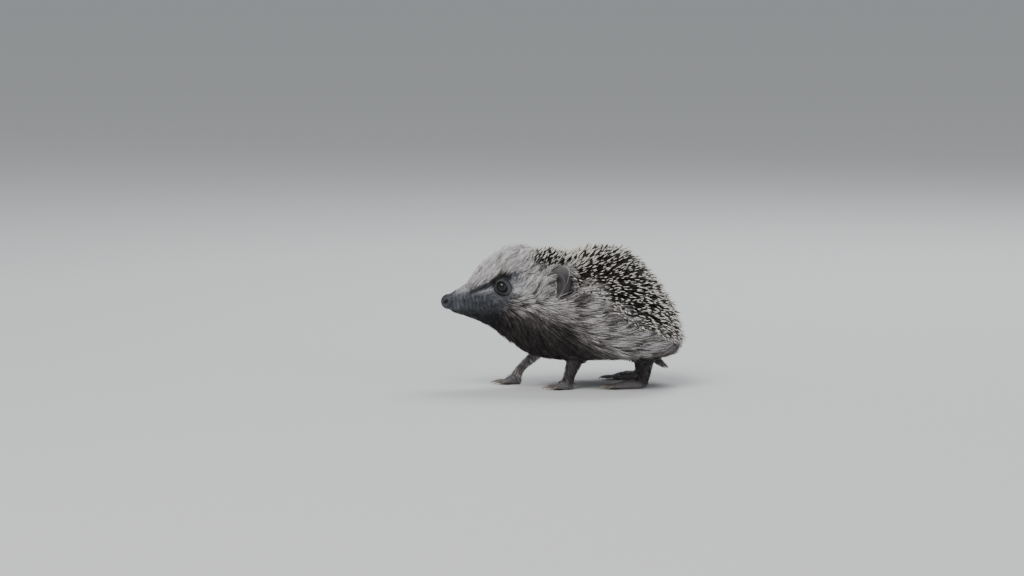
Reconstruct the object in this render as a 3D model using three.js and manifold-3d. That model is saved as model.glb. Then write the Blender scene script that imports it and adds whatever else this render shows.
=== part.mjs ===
// A young European hedgehog in mid step, with its head raised and turned a little to its right.
// The solids are the animal's outer form, out to the tips of its spines and hair, in millimetres:
// +Z is up, the nose points along -Y, the animal's left side is +X, and the soles stand on Z = 0.
import * as THREE from "three";
import { mergeVertices } from "three/addons/utils/BufferGeometryUtils.js";
import Module from "manifold-3d";

const wasm = await Module();
wasm.setup();

// ---------------------------------------------------------------- driving dimensions
const LENGTH = 146; // nose tip to rump, along the body
const GAP = 0.3; // clearance between neighbouring solids
const HEAD_END = 78; // distance from the nose tip at which the head is parted from the neck
const NECK_END = 92; // and the neck from the trunk
const HEAD_TURN = THREE.MathUtils.degToRad(12); // towards the animal's right
const TURN_FROM = 96; // the neck bends between these distances from the nose tip
const TURN_TO = 66;

// The body's outer form, station by station: distance from the nose tip, height of the widest
// line, half width there, height above it and depth below it, and how full the section is above
// and below (2 is an ellipse, more is squarer, less is more wedge shaped).
const BODY = [
  { from: 3.2, z: 50.8, half: 2.6, up: 3.0, down: 3.4, top: 2.0, base: 2.0 },
  { from: 5.0, z: 50.8, half: 4.4, up: 4.8, down: 5.4, top: 2.0, base: 2.0 },
  { from: 9.0, z: 50.4, half: 5.6, up: 7.8, down: 6.6, top: 2.1, base: 1.9 },
  { from: 13, z: 49.8, half: 6.9, up: 11.0, down: 7.2, top: 2.1, base: 1.9 },
  { from: 16.5, z: 49.6, half: 8.2, up: 13.8, down: 8.4, top: 2.0, base: 2.0 },
  { from: 19, z: 49.6, half: 9.4, up: 17.4, down: 9.4, top: 1.9, base: 2.0 },
  { from: 22.5, z: 50.0, half: 11.0, up: 21.6, down: 11.2, top: 1.8, base: 2.0 },
  { from: 27, z: 50.6, half: 13.0, up: 25.6, down: 14.2, top: 1.8, base: 2.0 },
  { from: 32, z: 51.0, half: 15.0, up: 28.4, down: 17.8, top: 1.85, base: 2.0 },
  { from: 38, z: 51.0, half: 17.2, up: 31.2, down: 22.4, top: 1.9, base: 2.0 },
  { from: 45, z: 50.4, half: 20.0, up: 34.4, down: 27.2, top: 1.95, base: 2.1 },
  { from: 52, z: 48.6, half: 23.0, up: 35.4, down: 29.4, top: 2.0, base: 2.2 },
  { from: 60, z: 45.4, half: 26.6, up: 37.0, down: 28.6, top: 2.1, base: 2.3 },
  { from: 68, z: 41.6, half: 31.0, up: 40.4, down: 25.8, top: 2.1, base: 2.4 },
  { from: 77, z: 38.0, half: 36.6, up: 45.2, down: 22.4, top: 2.1, base: 2.5 },
  { from: 87, z: 34.6, half: 42.2, up: 49.8, down: 19.0, top: 2.1, base: 2.6 },
  { from: 98, z: 31.8, half: 45.8, up: 53.2, down: 16.2, top: 2.1, base: 2.6 },
  { from: 108, z: 30.4, half: 46.4, up: 53.2, down: 14.8, top: 2.1, base: 2.6 },
  { from: 117, z: 29.4, half: 44.4, up: 48.6, down: 13.8, top: 2.1, base: 2.5 },
  { from: 125, z: 28.8, half: 40.4, up: 41.6, down: 13.0, top: 2.1, base: 2.4 },
  { from: 132, z: 28.2, half: 34.6, up: 33.4, down: 12.2, top: 2.1, base: 2.3 },
  { from: 138, z: 27.6, half: 27.2, up: 24.8, down: 11.0, top: 2.05, base: 2.2 },
  { from: 142.4, z: 27.0, half: 19.0, up: 16.6, down: 9.0, top: 2.0, base: 2.1 },
  { from: 145.2, z: 26.6, half: 10.0, up: 9.0, down: 5.6, top: 2.0, base: 2.0 },
  { from: LENGTH, z: 26.5, half: 2.6, up: 2.4, down: 1.6, top: 2.0, base: 2.0 },
];
const AROUND = 36; // facets round the body
const RINGS = 37; // and along it

// The long hair of the forehead overhangs the face along a brow line that rises to the eye.
const BROW = { start: 14, end: 48, low: 56.6, rise: 0.36, out: 1.7, soft: 3.4 };
const SOCKET = { from: 35.5, z: 60.5, reach: 7, deep: 1.5 };
const EAR_ROOT = { from: 61, z: 62, reach: 9, out: 1.2 };

const EYE = { side: 12.2, from: 36.6, z: 60.6, radius: 3.2 };
const NOSE = { from: 4.4, z: 51.0, half: 4.4, deep: 4.4, tall: 5.0, tilt: 0.25 };
const NOSTRIL = { side: 3.3, from: 1.7, z: 51.4, radius: 1.2 };
const MOUTH = { front: 7.5, back: 33, z: 45.4, rise: THREE.MathUtils.degToRad(3) };
const EAR = { side: 27, from: 67.5, z: 65.6, half: 7.8, tall: 11.4, thick: 1.1, cup: 3.2 };
const EAR_TURN = 0.95; // outwards from facing forwards
const EAR_LEAN = 0.16; // back from upright
const TAIL = [
  { from: 126, z: 18, half: 4.2, up: 4.0 },
  { from: 132, z: 14.0, half: 3.6, up: 3.4 },
  { from: 137, z: 10.6, half: 2.5, up: 2.4 },
  { from: 140, z: 8.6, half: 0.9, up: 0.9 },
];

// Each paw is a palm with five clawed toes in a fan. The soles are flat where they bear.
const TOES = 5;
const FOREPAW = { half: 5.4, length: 11, tall: 5.2, toe: 1.7, reach: 5.6, fan: 0.95, claw: 4.6 };
const HINDPAW = { half: 5.2, length: 21, tall: 5.0, toe: 1.7, reach: 6.6, fan: 0.5, claw: 3.8 };
const STANCE = {
  forepaw_left: { side: 19, from: 69 },
  forepaw_right: { side: -18, from: 47 },
  hindpaw_left: { side: 25, from: 108 },
  hindpaw_right: { side: -25, from: 122 },
};
const SHOULDER = { side: 19, from: 78, z: 30, half: 6.6, deep: 9 };
const ELBOW = { z: 17, half: 5.0, deep: 6.0, back: 4.5 };
const WRIST = { z: 6.4, half: 4.0, deep: 3.8, back: 2.0 };
const HIP = { side: 24, from: 116, z: 30, half: 8.6, deep: 11 };
const HOCK = { z: 11, half: 5.2, deep: 5.4, back: 8.0 };
const HEEL = { z: 4.6, half: 3.8, deep: 3.6, back: 8.2 };

const FINISHES = {
  spines: { color: 0x6f6558, roughness: 0.7 },
  fur: { color: 0x8a7a66, roughness: 0.9 },
  muzzle: { color: 0x4c4038, roughness: 0.85 },
  nose: { color: 0x17141a, roughness: 0.35 },
  eye: { color: 0x0a0808, roughness: 0.08 },
  ear: { color: 0x8c7468, roughness: 0.8 },
  leg: { color: 0x5c4a3c, roughness: 0.85 },
  paw: { color: 0x6d5a50, roughness: 0.75 },
};

// ---------------------------------------------------------------- placing, making and joining
const FAR = 120;
const vec = (x, y, z) => new THREE.Vector3(x, y, z);

// Distances are taken from the nose tip; this gives the Y of the straight body.
const along = (from) => from - LENGTH / 2;

// Turns the head: the neck follows an arc between TURN_FROM and TURN_TO, the head keeps its shape.
function turned(point) {
  const start = along(TURN_FROM);
  const span = TURN_FROM - TURN_TO;
  const radius = span / HEAD_TURN;
  const past = THREE.MathUtils.clamp(start - point.y, 0, span);
  const angle = (past / span) * HEAD_TURN;
  const [cos, sin] = [Math.cos(angle), Math.sin(angle)];
  const rest = Math.max(point.y - start, 0) - Math.max(start - span - point.y, 0);
  const x = radius * (cos - 1) + point.x * cos + rest * sin;
  const y = start - radius * sin - point.x * sin + rest * cos;
  return vec(x, y, point.z);
}

function bend(geometry) {
  const place = geometry.attributes.position;
  for (let i = 0; i < place.count; i++) {
    const { x, y, z } = turned(vec(place.getX(i), place.getY(i), place.getZ(i)));
    place.setXYZ(i, x, y, z);
  }
  return geometry;
}

const solidOf = (geometry) => {
  const bare = geometry.clone();
  for (const name of ["normal", "uv"]) bare.deleteAttribute(name);
  const merged = mergeVertices(bare, 1e-4);
  return new wasm.Manifold(
    new wasm.Mesh({
      numProp: 3,
      vertProperties: new Float32Array(merged.attributes.position.array),
      triVerts: new Uint32Array(merged.index.array),
    }),
  );
};

const joined = (solids) => solids.reduce((whole, next) => whole.add(next));

const boxBetween = (low, high) => {
  const size = high.clone().sub(low);
  const centre = low.clone().add(high).multiplyScalar(0.5);
  return new THREE.BoxGeometry(size.x, size.y, size.z).translate(centre.x, centre.y, centre.z);
};

// All space between two distances from the nose tip, or between two heights.
const stretch = (from, to) =>
  solidOf(bend(boxBetween(vec(-FAR, along(from), -FAR), vec(FAR, along(to), FAR))));
const level = (low, high) => solidOf(boxBetween(vec(-FAR, -FAR, low), vec(FAR, FAR, high)));

const ellipsoid = (centre, radii, tilt = 0, around = 11, high = 8) =>
  new THREE.SphereGeometry(1, around, high)
    .scale(radii.x, radii.y, radii.z)
    .rotateX(tilt)
    .translate(centre.x, centre.y, centre.z);

// Three numbers of each station, as a smooth curve through them all.
const through = (stations, pick) =>
  new THREE.CatmullRomCurve3(stations.map((station) => vec(...pick(station))));

// ---------------------------------------------------------------- head, neck and trunk
const smooth = (low, high, value) => THREE.MathUtils.smoothstep(value, low, high);
const mound = (distance, reach) => Math.exp(-((distance / reach) ** 2));

// How far the flank of the head stands out from, or in from, its plain section.
function relief(from, z) {
  const line = BROW.low + BROW.rise * (from - BROW.start);
  const window = smooth(BROW.start, BROW.start + 5, from) * (1 - smooth(BROW.end - 12, BROW.end, from));
  const brow = BROW.out * window * (smooth(line - BROW.soft / 2, line + BROW.soft / 2, z) - 0.35);
  const socket = SOCKET.deep * mound(Math.hypot(from - SOCKET.from, z - SOCKET.z), SOCKET.reach);
  const ear = EAR_ROOT.out * mound(Math.hypot(from - EAR_ROOT.from, z - EAR_ROOT.z), EAR_ROOT.reach);
  return brow - socket + ear;
}

// Sections stand square to the Y axis. A little growth makes the body's cutter.
function bodySolid(grow = 0) {
  const line = through(BODY, (s) => [s.from, s.z, s.half]);
  const heights = through(BODY, (s) => [s.up, s.down, 0]);
  const fullness = through(BODY, (s) => [s.top, s.base, 0]);
  const form = new THREE.CylinderGeometry(1, 1, 1, AROUND, RINGS);
  const place = form.attributes.position;
  for (let i = 0; i < place.count; i++) {
    const t = 0.5 - place.getY(i);
    const [from, z, half] = line.getPoint(t).toArray();
    const [up, down] = heights.getPoint(t).toArray();
    const [top, base] = fullness.getPoint(t).toArray();
    const [side, rise] = [place.getX(i), -place.getZ(i)];
    const power = 2 / (rise > 0 ? top : base);
    const reach = (rise > 0 ? up : down) + grow;
    const height = z + Math.sign(rise) * Math.abs(rise) ** power * reach;
    const across = Math.sign(side) * Math.abs(side) ** power * (half + grow);
    place.setXYZ(i, across + side * relief(from, height), along(from), height);
  }
  return solidOf(bend(form));
}

// ---------------------------------------------------------------- legs, paws and tail
// A limb has level sections, from its sole end up into the body.
function limb(joints) {
  const line = through(joints, (j) => [j.x, j.y, j.z]);
  const girth = through(joints, (j) => [j.half, j.deep, 0]);
  const form = new THREE.CylinderGeometry(1, 1, 1, 12, 7);
  const place = form.attributes.position;
  for (let i = 0; i < place.count; i++) {
    const t = 0.5 + place.getY(i);
    const centre = line.getPoint(t);
    const [half, deep] = girth.getPoint(t).toArray();
    place.setXYZ(i, centre.x + place.getX(i) * half, centre.y - place.getZ(i) * deep, centre.z);
  }
  return solidOf(form);
}

const joint = (x, from, size) => ({ x, y: along(from), z: size.z, half: size.half, deep: size.deep });

function foreleg({ side, from }) {
  const shoulder = Math.sign(side) * SHOULDER.side;
  const elbow = THREE.MathUtils.lerp(from + ELBOW.back, SHOULDER.from, 0.35);
  return limb([
    joint(side, from + WRIST.back, { ...WRIST, z: 2.6 }),
    joint(side, from + WRIST.back, WRIST),
    joint(side, elbow, ELBOW),
    joint(shoulder, SHOULDER.from, SHOULDER),
  ]);
}

function hindleg({ side, from }) {
  const hip = Math.sign(side) * HIP.side;
  return limb([
    joint(side, from + HEEL.back, { ...HEEL, z: 2.4 }),
    joint(side, from + HEEL.back, HEEL),
    joint(side, from + HOCK.back, HOCK),
    joint(hip, HIP.from, HIP),
  ]);
}

// Where a toe starts, which way it points and how long it is, from the inner toe to the outer.
function toeLine(paw, { side, from }, index) {
  const spread = (index / (TOES - 1)) * 2 - 1;
  const angle = Math.sign(side) * spread * paw.fan * 0.5;
  const forward = vec(Math.sin(angle), -Math.cos(angle), 0);
  const reach = paw.reach * (1 - 0.26 * spread * spread);
  const x = side + Math.sign(side) * spread * (paw.half - paw.toe);
  const y = along(from) - paw.length / 2 + 1.6 + 1.5 * spread * spread;
  return { root: vec(x, y, paw.toe * 0.92), forward, reach };
}

function pawSolid(paw, stand) {
  const centre = vec(stand.side, along(stand.from), paw.tall * 0.42);
  const palm = ellipsoid(centre, vec(paw.half, paw.length / 2, paw.tall * 0.62), 0.06, 10, 6);
  const upright = vec(0, 1, 0);
  const toes = Array.from({ length: TOES }, (_, index) => {
    const { root, forward, reach } = toeLine(paw, stand, index);
    const toe = new THREE.CapsuleGeometry(paw.toe, reach, 2, 6);
    toe.translate(0, reach / 2, 0);
    toe.applyQuaternion(new THREE.Quaternion().setFromUnitVectors(upright, forward));
    toe.translate(root.x, root.y, root.z);
    return solidOf(toe);
  });
  const claws = toes.map((_, index) => clawSolid(paw, stand, index));
  return joined([solidOf(palm), ...toes, ...claws]).intersect(level(0, FAR));
}

// A claw is a cone bent down towards its tip.
function clawSolid(paw, stand, index) {
  const { root, forward, reach } = toeLine(paw, stand, index);
  const claw = new THREE.ConeGeometry(paw.toe * 0.5, paw.claw, 6, 2);
  claw.translate(0, paw.claw / 2, 0);
  const place = claw.attributes.position;
  for (let i = 0; i < place.count; i++) {
    const t = Math.max(place.getY(i), 0) / paw.claw;
    place.setZ(i, place.getZ(i) + paw.toe * (0.35 * t - 0.75 * t * t));
  }
  const up = vec(0, 0, 1);
  const across = forward.clone().cross(up);
  claw.applyMatrix4(new THREE.Matrix4().makeBasis(across, forward, up));
  const start = root.clone().addScaledVector(forward, reach + paw.toe * 0.4);
  claw.translate(start.x, start.y, start.z + paw.toe * 0.25);
  return solidOf(claw);
}

function tailSolid() {
  const line = through(TAIL, (s) => [0, along(s.from), s.z]);
  const girth = through(TAIL, (s) => [s.half, s.up, 0]);
  const form = new THREE.CylinderGeometry(1, 1, 1, 10, 6);
  const place = form.attributes.position;
  for (let i = 0; i < place.count; i++) {
    const t = 0.5 - place.getY(i);
    const centre = line.getPoint(t);
    const [half, up] = girth.getPoint(t).toArray();
    place.setXYZ(i, place.getX(i) * half, centre.y, centre.z - place.getZ(i) * up);
  }
  return solidOf(form);
}

// ---------------------------------------------------------------- ears, eyes, nose and mouth
// An ear is a thin rounded blade, cupped forwards and outwards.
function earSolid(side) {
  const blade = new THREE.SphereGeometry(1, 14, 9);
  const place = blade.attributes.position;
  for (let i = 0; i < place.count; i++) {
    const [u, v] = [place.getX(i), place.getZ(i)];
    const bow = EAR.cup * (0.5 - u * u - 0.35 * v * v);
    const narrow = 1 - 0.14 * v;
    place.setXYZ(i, u * EAR.half * narrow, place.getY(i) * EAR.thick + bow, v * EAR.tall);
  }
  blade.rotateX(-EAR_LEAN);
  blade.rotateZ(side * EAR_TURN);
  blade.translate(side * EAR.side, along(EAR.from), EAR.z);
  return solidOf(bend(blade));
}

function eyeSolid(side, grow = 0) {
  const r = EYE.radius + grow;
  const ball = ellipsoid(vec(side * EYE.side, along(EYE.from), EYE.z), vec(r, r, r));
  return solidOf(bend(ball));
}

function noseSolid(grow = 0) {
  const radii = vec(NOSE.half + grow, NOSE.deep + grow, NOSE.tall + grow);
  return solidOf(bend(ellipsoid(vec(0, along(NOSE.from), NOSE.z), radii, NOSE.tilt)));
}

function nostril(side) {
  const { radius } = NOSTRIL;
  const centre = vec(side * NOSTRIL.side, along(NOSTRIL.from), NOSTRIL.z);
  return solidOf(bend(ellipsoid(centre, vec(radius, radius * 1.5, radius), 0, 8, 6)));
}

// The space under the mouth line, in front of the corners of the mouth.
function underMouth(grow = 0) {
  const slab = new THREE.BoxGeometry(60, MOUTH.back - MOUTH.front + 2 * grow, 40);
  slab.translate(0, 0, -20 + grow);
  slab.rotateX(MOUTH.rise);
  slab.translate(0, along((MOUTH.back + MOUTH.front) / 2), MOUTH.z);
  return solidOf(bend(slab));
}

// ---------------------------------------------------------------- parting the animal
const SIDES = { left: 1, right: -1 };
const whole = bodySolid();
const clear = bodySolid(GAP);
const parts = {};

for (const [name, side] of Object.entries(SIDES)) {
  parts[`ear_${name}`] = { solid: earSolid(side).subtract(clear), finish: "ear" };
  parts[`eye_${name}`] = { solid: eyeSolid(side), finish: "eye" };
}
parts.nose = {
  solid: noseSolid().subtract(nostril(1)).subtract(nostril(-1)),
  finish: "nose",
};

const head = whole
  .intersect(stretch(-20, HEAD_END))
  .subtract(noseSolid(GAP))
  .subtract(eyeSolid(1, GAP))
  .subtract(eyeSolid(-1, GAP));
parts.head = { solid: head.subtract(underMouth(GAP)), finish: "fur" };
parts.lower_jaw = { solid: head.intersect(underMouth()), finish: "muzzle" };
parts.neck = { solid: whole.intersect(stretch(HEAD_END + GAP, NECK_END)), finish: "fur" };
parts.trunk = { solid: whole.intersect(stretch(NECK_END + GAP, LENGTH + 20)), finish: "spines" };
parts.tail = { solid: tailSolid().subtract(clear), finish: "fur" };

const LIMBS = {
  fore: { paw: FOREPAW, leg: foreleg },
  hind: { paw: HINDPAW, leg: hindleg },
};
for (const name of Object.keys(SIDES)) {
  for (const [end, { paw, leg }] of Object.entries(LIMBS)) {
    const stand = STANCE[`${end}paw_${name}`];
    const ankle = paw.tall * 0.9;
    const bare = leg(stand).subtract(clear);
    const foot = pawSolid(paw, stand)
      .add(bare.intersect(level(0.5, ankle)))
      .intersect(level(0, ankle));
    parts[`${end}leg_${name}`] = { solid: bare.intersect(level(ankle + GAP, FAR)), finish: "leg" };
    parts[`${end}paw_${name}`] = { solid: foot, finish: "paw" };
  }
}

// ---------------------------------------------------------------- the whole animal
function geometryOf(solid) {
  const mesh = solid.getMesh();
  const places = new Float32Array(mesh.numVert * 3);
  for (let i = 0; i < mesh.numVert; i++)
    places.set(mesh.vertProperties.subarray(i * mesh.numProp, i * mesh.numProp + 3), i * 3);
  const geometry = new THREE.BufferGeometry();
  geometry.setAttribute("position", new THREE.BufferAttribute(places, 3));
  geometry.setIndex(new THREE.BufferAttribute(mesh.triVerts, 1));
  geometry.computeVertexNormals();
  return geometry;
}

const hedgehog = new THREE.Group();
for (const [name, { solid, finish }] of Object.entries(parts)) {
  const material = new THREE.MeshStandardMaterial({ ...FINISHES[finish], metalness: 0 });
  const mesh = new THREE.Mesh(geometryOf(solid), material);
  mesh.name = name;
  hedgehog.add(mesh);
}

// The origin is on the floor, under the middle of the whole animal.
const bounds = new THREE.Box3().setFromObject(hedgehog);
const middle = bounds.getCenter(vec(0, 0, 0));
hedgehog.position.set(-middle.x, -middle.y, -bounds.min.z);

export default hedgehog;
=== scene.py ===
"""A hedgehog, life size, on its feet with its head turned a little to its right.

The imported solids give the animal's outline out to the tips of its coat. One skin is made from
them and let down by the depth of the coat, and spines, hair and short fur are laid back over it.
Meshes are in metres. Places on the animal are in millimetres: the distance out to its left, the
distance back from the tip of the nose with the neck straightened, and the height from the floor.
"""

import sys

import logging
import math
from collections.abc import Iterator
from contextlib import contextmanager
from dataclasses import dataclass, field
from enum import IntEnum

import bpy
import numpy as np
from bpy.types import Material, Mesh, MeshPolygon, Node, NodeSocket, NodeTree, Object
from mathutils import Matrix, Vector
from mathutils.bvhtree import BVHTree
from mathutils.kdtree import KDTree


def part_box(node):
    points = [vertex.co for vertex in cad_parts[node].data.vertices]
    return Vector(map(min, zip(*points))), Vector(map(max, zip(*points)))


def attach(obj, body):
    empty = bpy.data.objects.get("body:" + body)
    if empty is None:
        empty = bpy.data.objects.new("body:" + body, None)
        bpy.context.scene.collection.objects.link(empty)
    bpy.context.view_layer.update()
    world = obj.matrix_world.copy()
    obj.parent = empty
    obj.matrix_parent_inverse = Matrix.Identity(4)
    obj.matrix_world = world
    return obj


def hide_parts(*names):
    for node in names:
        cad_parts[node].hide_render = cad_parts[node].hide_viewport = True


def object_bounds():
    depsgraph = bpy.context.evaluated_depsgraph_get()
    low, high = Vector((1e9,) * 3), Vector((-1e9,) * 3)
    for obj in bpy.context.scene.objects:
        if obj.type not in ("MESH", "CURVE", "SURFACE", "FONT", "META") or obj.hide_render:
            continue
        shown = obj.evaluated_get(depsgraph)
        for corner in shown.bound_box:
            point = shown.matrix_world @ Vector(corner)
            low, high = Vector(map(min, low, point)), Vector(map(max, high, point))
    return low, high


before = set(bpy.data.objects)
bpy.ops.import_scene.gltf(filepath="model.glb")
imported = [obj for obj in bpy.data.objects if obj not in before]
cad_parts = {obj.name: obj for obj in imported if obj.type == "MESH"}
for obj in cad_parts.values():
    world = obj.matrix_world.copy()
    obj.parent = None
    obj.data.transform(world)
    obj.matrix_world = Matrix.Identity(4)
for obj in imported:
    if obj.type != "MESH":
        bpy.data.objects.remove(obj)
CAD_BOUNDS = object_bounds()

Array = np.ndarray
MM = 0.001
BAKE_MAP = "OFBake"
BAKE_PATCH = 0.003
MERGE = 1e-6
BODY = "root"
log = logging.getLogger("hedgehog")

LEGS = ("foreleg_left", "foreleg_right", "hindleg_left", "hindleg_right")
PAWS = ("forepaw_left", "forepaw_right", "hindpaw_left", "hindpaw_right")
EARS = ("ear_left", "ear_right")
CORE = ("head", "lower_jaw", "neck", "trunk")


class Side(IntEnum):
    """The two sides of the animal, by the sign of the distance out to its left."""

    LEFT = 1
    RIGHT = -1

    @property
    def word(self) -> str:
        """The side's name as it stands in node names."""
        return self.name.lower()


class Kind(IntEnum):
    """What a stretch of the skin belongs to."""

    BODY = 0
    TAIL = 1
    EAR = 2
    LEG = 3
    PAW = 4


# ---- small sums


def smooth(low: float, high: float, value: Array) -> Array:
    """Rises from 0 to 1 with level ends.

    Args:
        low: where it leaves 0.
        high: where it reaches 1.
        value: the places asked about.

    Returns:
        The risen share at each place.
    """
    share = np.clip((value - low) / (high - low), 0.0, 1.0)
    return share * share * (3.0 - 2.0 * share)


def mound(distance: Array, reach: float) -> Array:
    """A round hill of height 1, down to a third at its reach."""
    return np.exp(-((distance / reach) ** 2))


def mix(low: Array, high: Array, share: Array) -> Array:
    """What lies the given share of the way from one value to another."""
    return low + (high - low) * share


def unit(vectors: Array) -> Array:
    """The same directions at length 1."""
    length = np.linalg.norm(vectors, axis=-1, keepdims=True)
    return vectors / np.maximum(length, 1e-12)


def dot(first: Array, second: Array) -> Array:
    """Row by row products of two arrays of vectors, kept as a column."""
    return (first * second).sum(axis=-1, keepdims=True)


class Ripple:
    """Smooth random waves through space, the same each run."""

    def __init__(self, seed: int, size: float, waves: int = 9) -> None:
        """Draws the waves.

        Args:
            seed: which set of waves.
            size: the usual length of a wave, in millimetres.
            waves: how many are added up.
        """
        random = np.random.default_rng(seed)
        self.ways = unit(random.normal(size=(waves, 3))) * (2 * math.pi / size)
        self.ways *= random.uniform(0.6, 1.5, (waves, 1))
        self.phases = random.uniform(0, 2 * math.pi, waves)

    def at(self, places: Array) -> Array:
        """The waves' height at each place, mostly between -1 and 1."""
        return np.sin(places @ self.ways.T + self.phases).mean(axis=1) * 2.0


# ---- the animal's own measure


@dataclass(frozen=True)
class BodyMap:
    """Carries places between the standing animal and the same animal with its head straight.

    The neck bends in a flat arc between two distances from the nose, in millimetres.
    """

    length: float = 146.0
    turn: float = math.radians(12.0)
    turn_from: float = 96.0
    turn_to: float = 66.0

    @property
    def start(self) -> float:
        """Where the bend starts along Y, in millimetres."""
        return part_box("trunk")[1].y / MM - (self.length - self.turn_from)

    @property
    def span(self) -> float:
        """How much of the animal's length bends."""
        return self.turn_from - self.turn_to

    @property
    def radius(self) -> float:
        """The radius of the bend at the animal's own middle line."""
        return self.span / self.turn

    def straighten(self, points: Array) -> Array:
        """Reads the place on the animal of each point.

        Args:
            points: rows of x, y, z in metres.

        Returns:
            Rows of side, distance from the nose and height, in millimetres.
        """
        x, y, z = (np.atleast_2d(points) / MM).T
        angle = np.arctan2(self.start - y, x + self.radius)
        arc_side = np.hypot(x + self.radius, self.start - y) - self.radius
        arc_along = self.turn_from - angle * self.radius
        cos, sin = math.cos(self.turn), math.sin(self.turn)
        dx = x - self.radius * (cos - 1)
        dy = y - self.start + self.radius * sin
        behind = y >= self.start
        past = angle > self.turn
        side = np.where(behind, x, np.where(past, dx * cos - dy * sin, arc_side))
        back = self.turn_from + y - self.start
        ahead = self.turn_to + dx * sin + dy * cos
        along = np.where(behind, back, np.where(past, ahead, arc_along))
        return np.stack([side, along, z], axis=1)

    def stand(self, places: Array) -> Array:
        """Turns places on the straight animal into points on the standing one.

        Args:
            places: rows of side, distance from the nose and height, in millimetres.

        Returns:
            Rows of x, y, z in metres.
        """
        side, along, high = np.atleast_2d(places).astype(float).T
        angle = np.clip((self.turn_from - along) / self.span, 0, 1) * self.turn
        behind = np.maximum(along - self.turn_from, 0)
        rest = behind + np.minimum(along - self.turn_to, 0)
        cos, sin = np.cos(angle), np.sin(angle)
        x = self.radius * (cos - 1) + side * cos + rest * sin
        y = self.start - self.radius * sin - side * sin + rest * cos
        return np.stack([x, y, high], axis=1) * MM

    def heading(self, places: Array, ways: Array) -> Array:
        """Turns directions on the straight animal into directions on the standing one."""
        angle = np.clip((self.turn_from - places[:, 1]) / self.span, 0, 1) * self.turn
        cos, sin = np.cos(angle), np.sin(angle)
        x = ways[:, 0] * cos + ways[:, 1] * sin
        y = ways[:, 1] * cos - ways[:, 0] * sin
        return np.stack([x, y, ways[:, 2]], axis=1)


@dataclass(frozen=True)
class EyePlace:
    """Where an eyeball sits, which way it looks, and the size of its lids in millimetres."""

    side: Side
    body: BodyMap
    half_wide: float = 3.65
    half_tall: float = 3.3
    lid: float = 0.38
    swell: float = 1.17

    @property
    def centre(self) -> Array:
        """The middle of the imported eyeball, in metres."""
        low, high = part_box(f"eye_{self.side.word}")
        return np.array((low + high) / 2)

    @property
    def radius(self) -> float:
        """The eyeball's radius with its clear front, in metres."""
        low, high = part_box(f"eye_{self.side.word}")
        return (high.z - low.z) / 2 * self.swell

    @property
    def ways(self) -> Array:
        """Rows for the way the eye looks, the way back along the lids, and the way up."""
        place = self.body.straighten(self.centre)
        look = self.body.heading(place, np.array([[0.9 * self.side, -0.42, 0.12]]))[0]
        look = unit(look)
        up = unit(np.array([0.0, 0.0, 1.0]) - look * look[2])
        back = np.cross(up, look) * self.side
        return np.array([look, back, up])

    def across(self, points: Array) -> Array:
        """Each point as it stands from the eyeball's middle: out, back and up, in metres."""
        return (points - self.centre) @ self.ways.T

    def away(self, points: Array) -> Array:
        """How far each point is from the eyeball's middle, in metres."""
        return np.linalg.norm(points - self.centre, axis=1)

    def opening(self, points: Array) -> Array:
        """How far out of the lids' opening a point is: below 1 inside it, 1 on the lids' edge."""
        _, back, up = (self.across(points) / MM).T
        level = up + 0.16 * back
        return np.hypot(back / self.half_wide, level / self.half_tall)


# ---- how the coat lies


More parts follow.
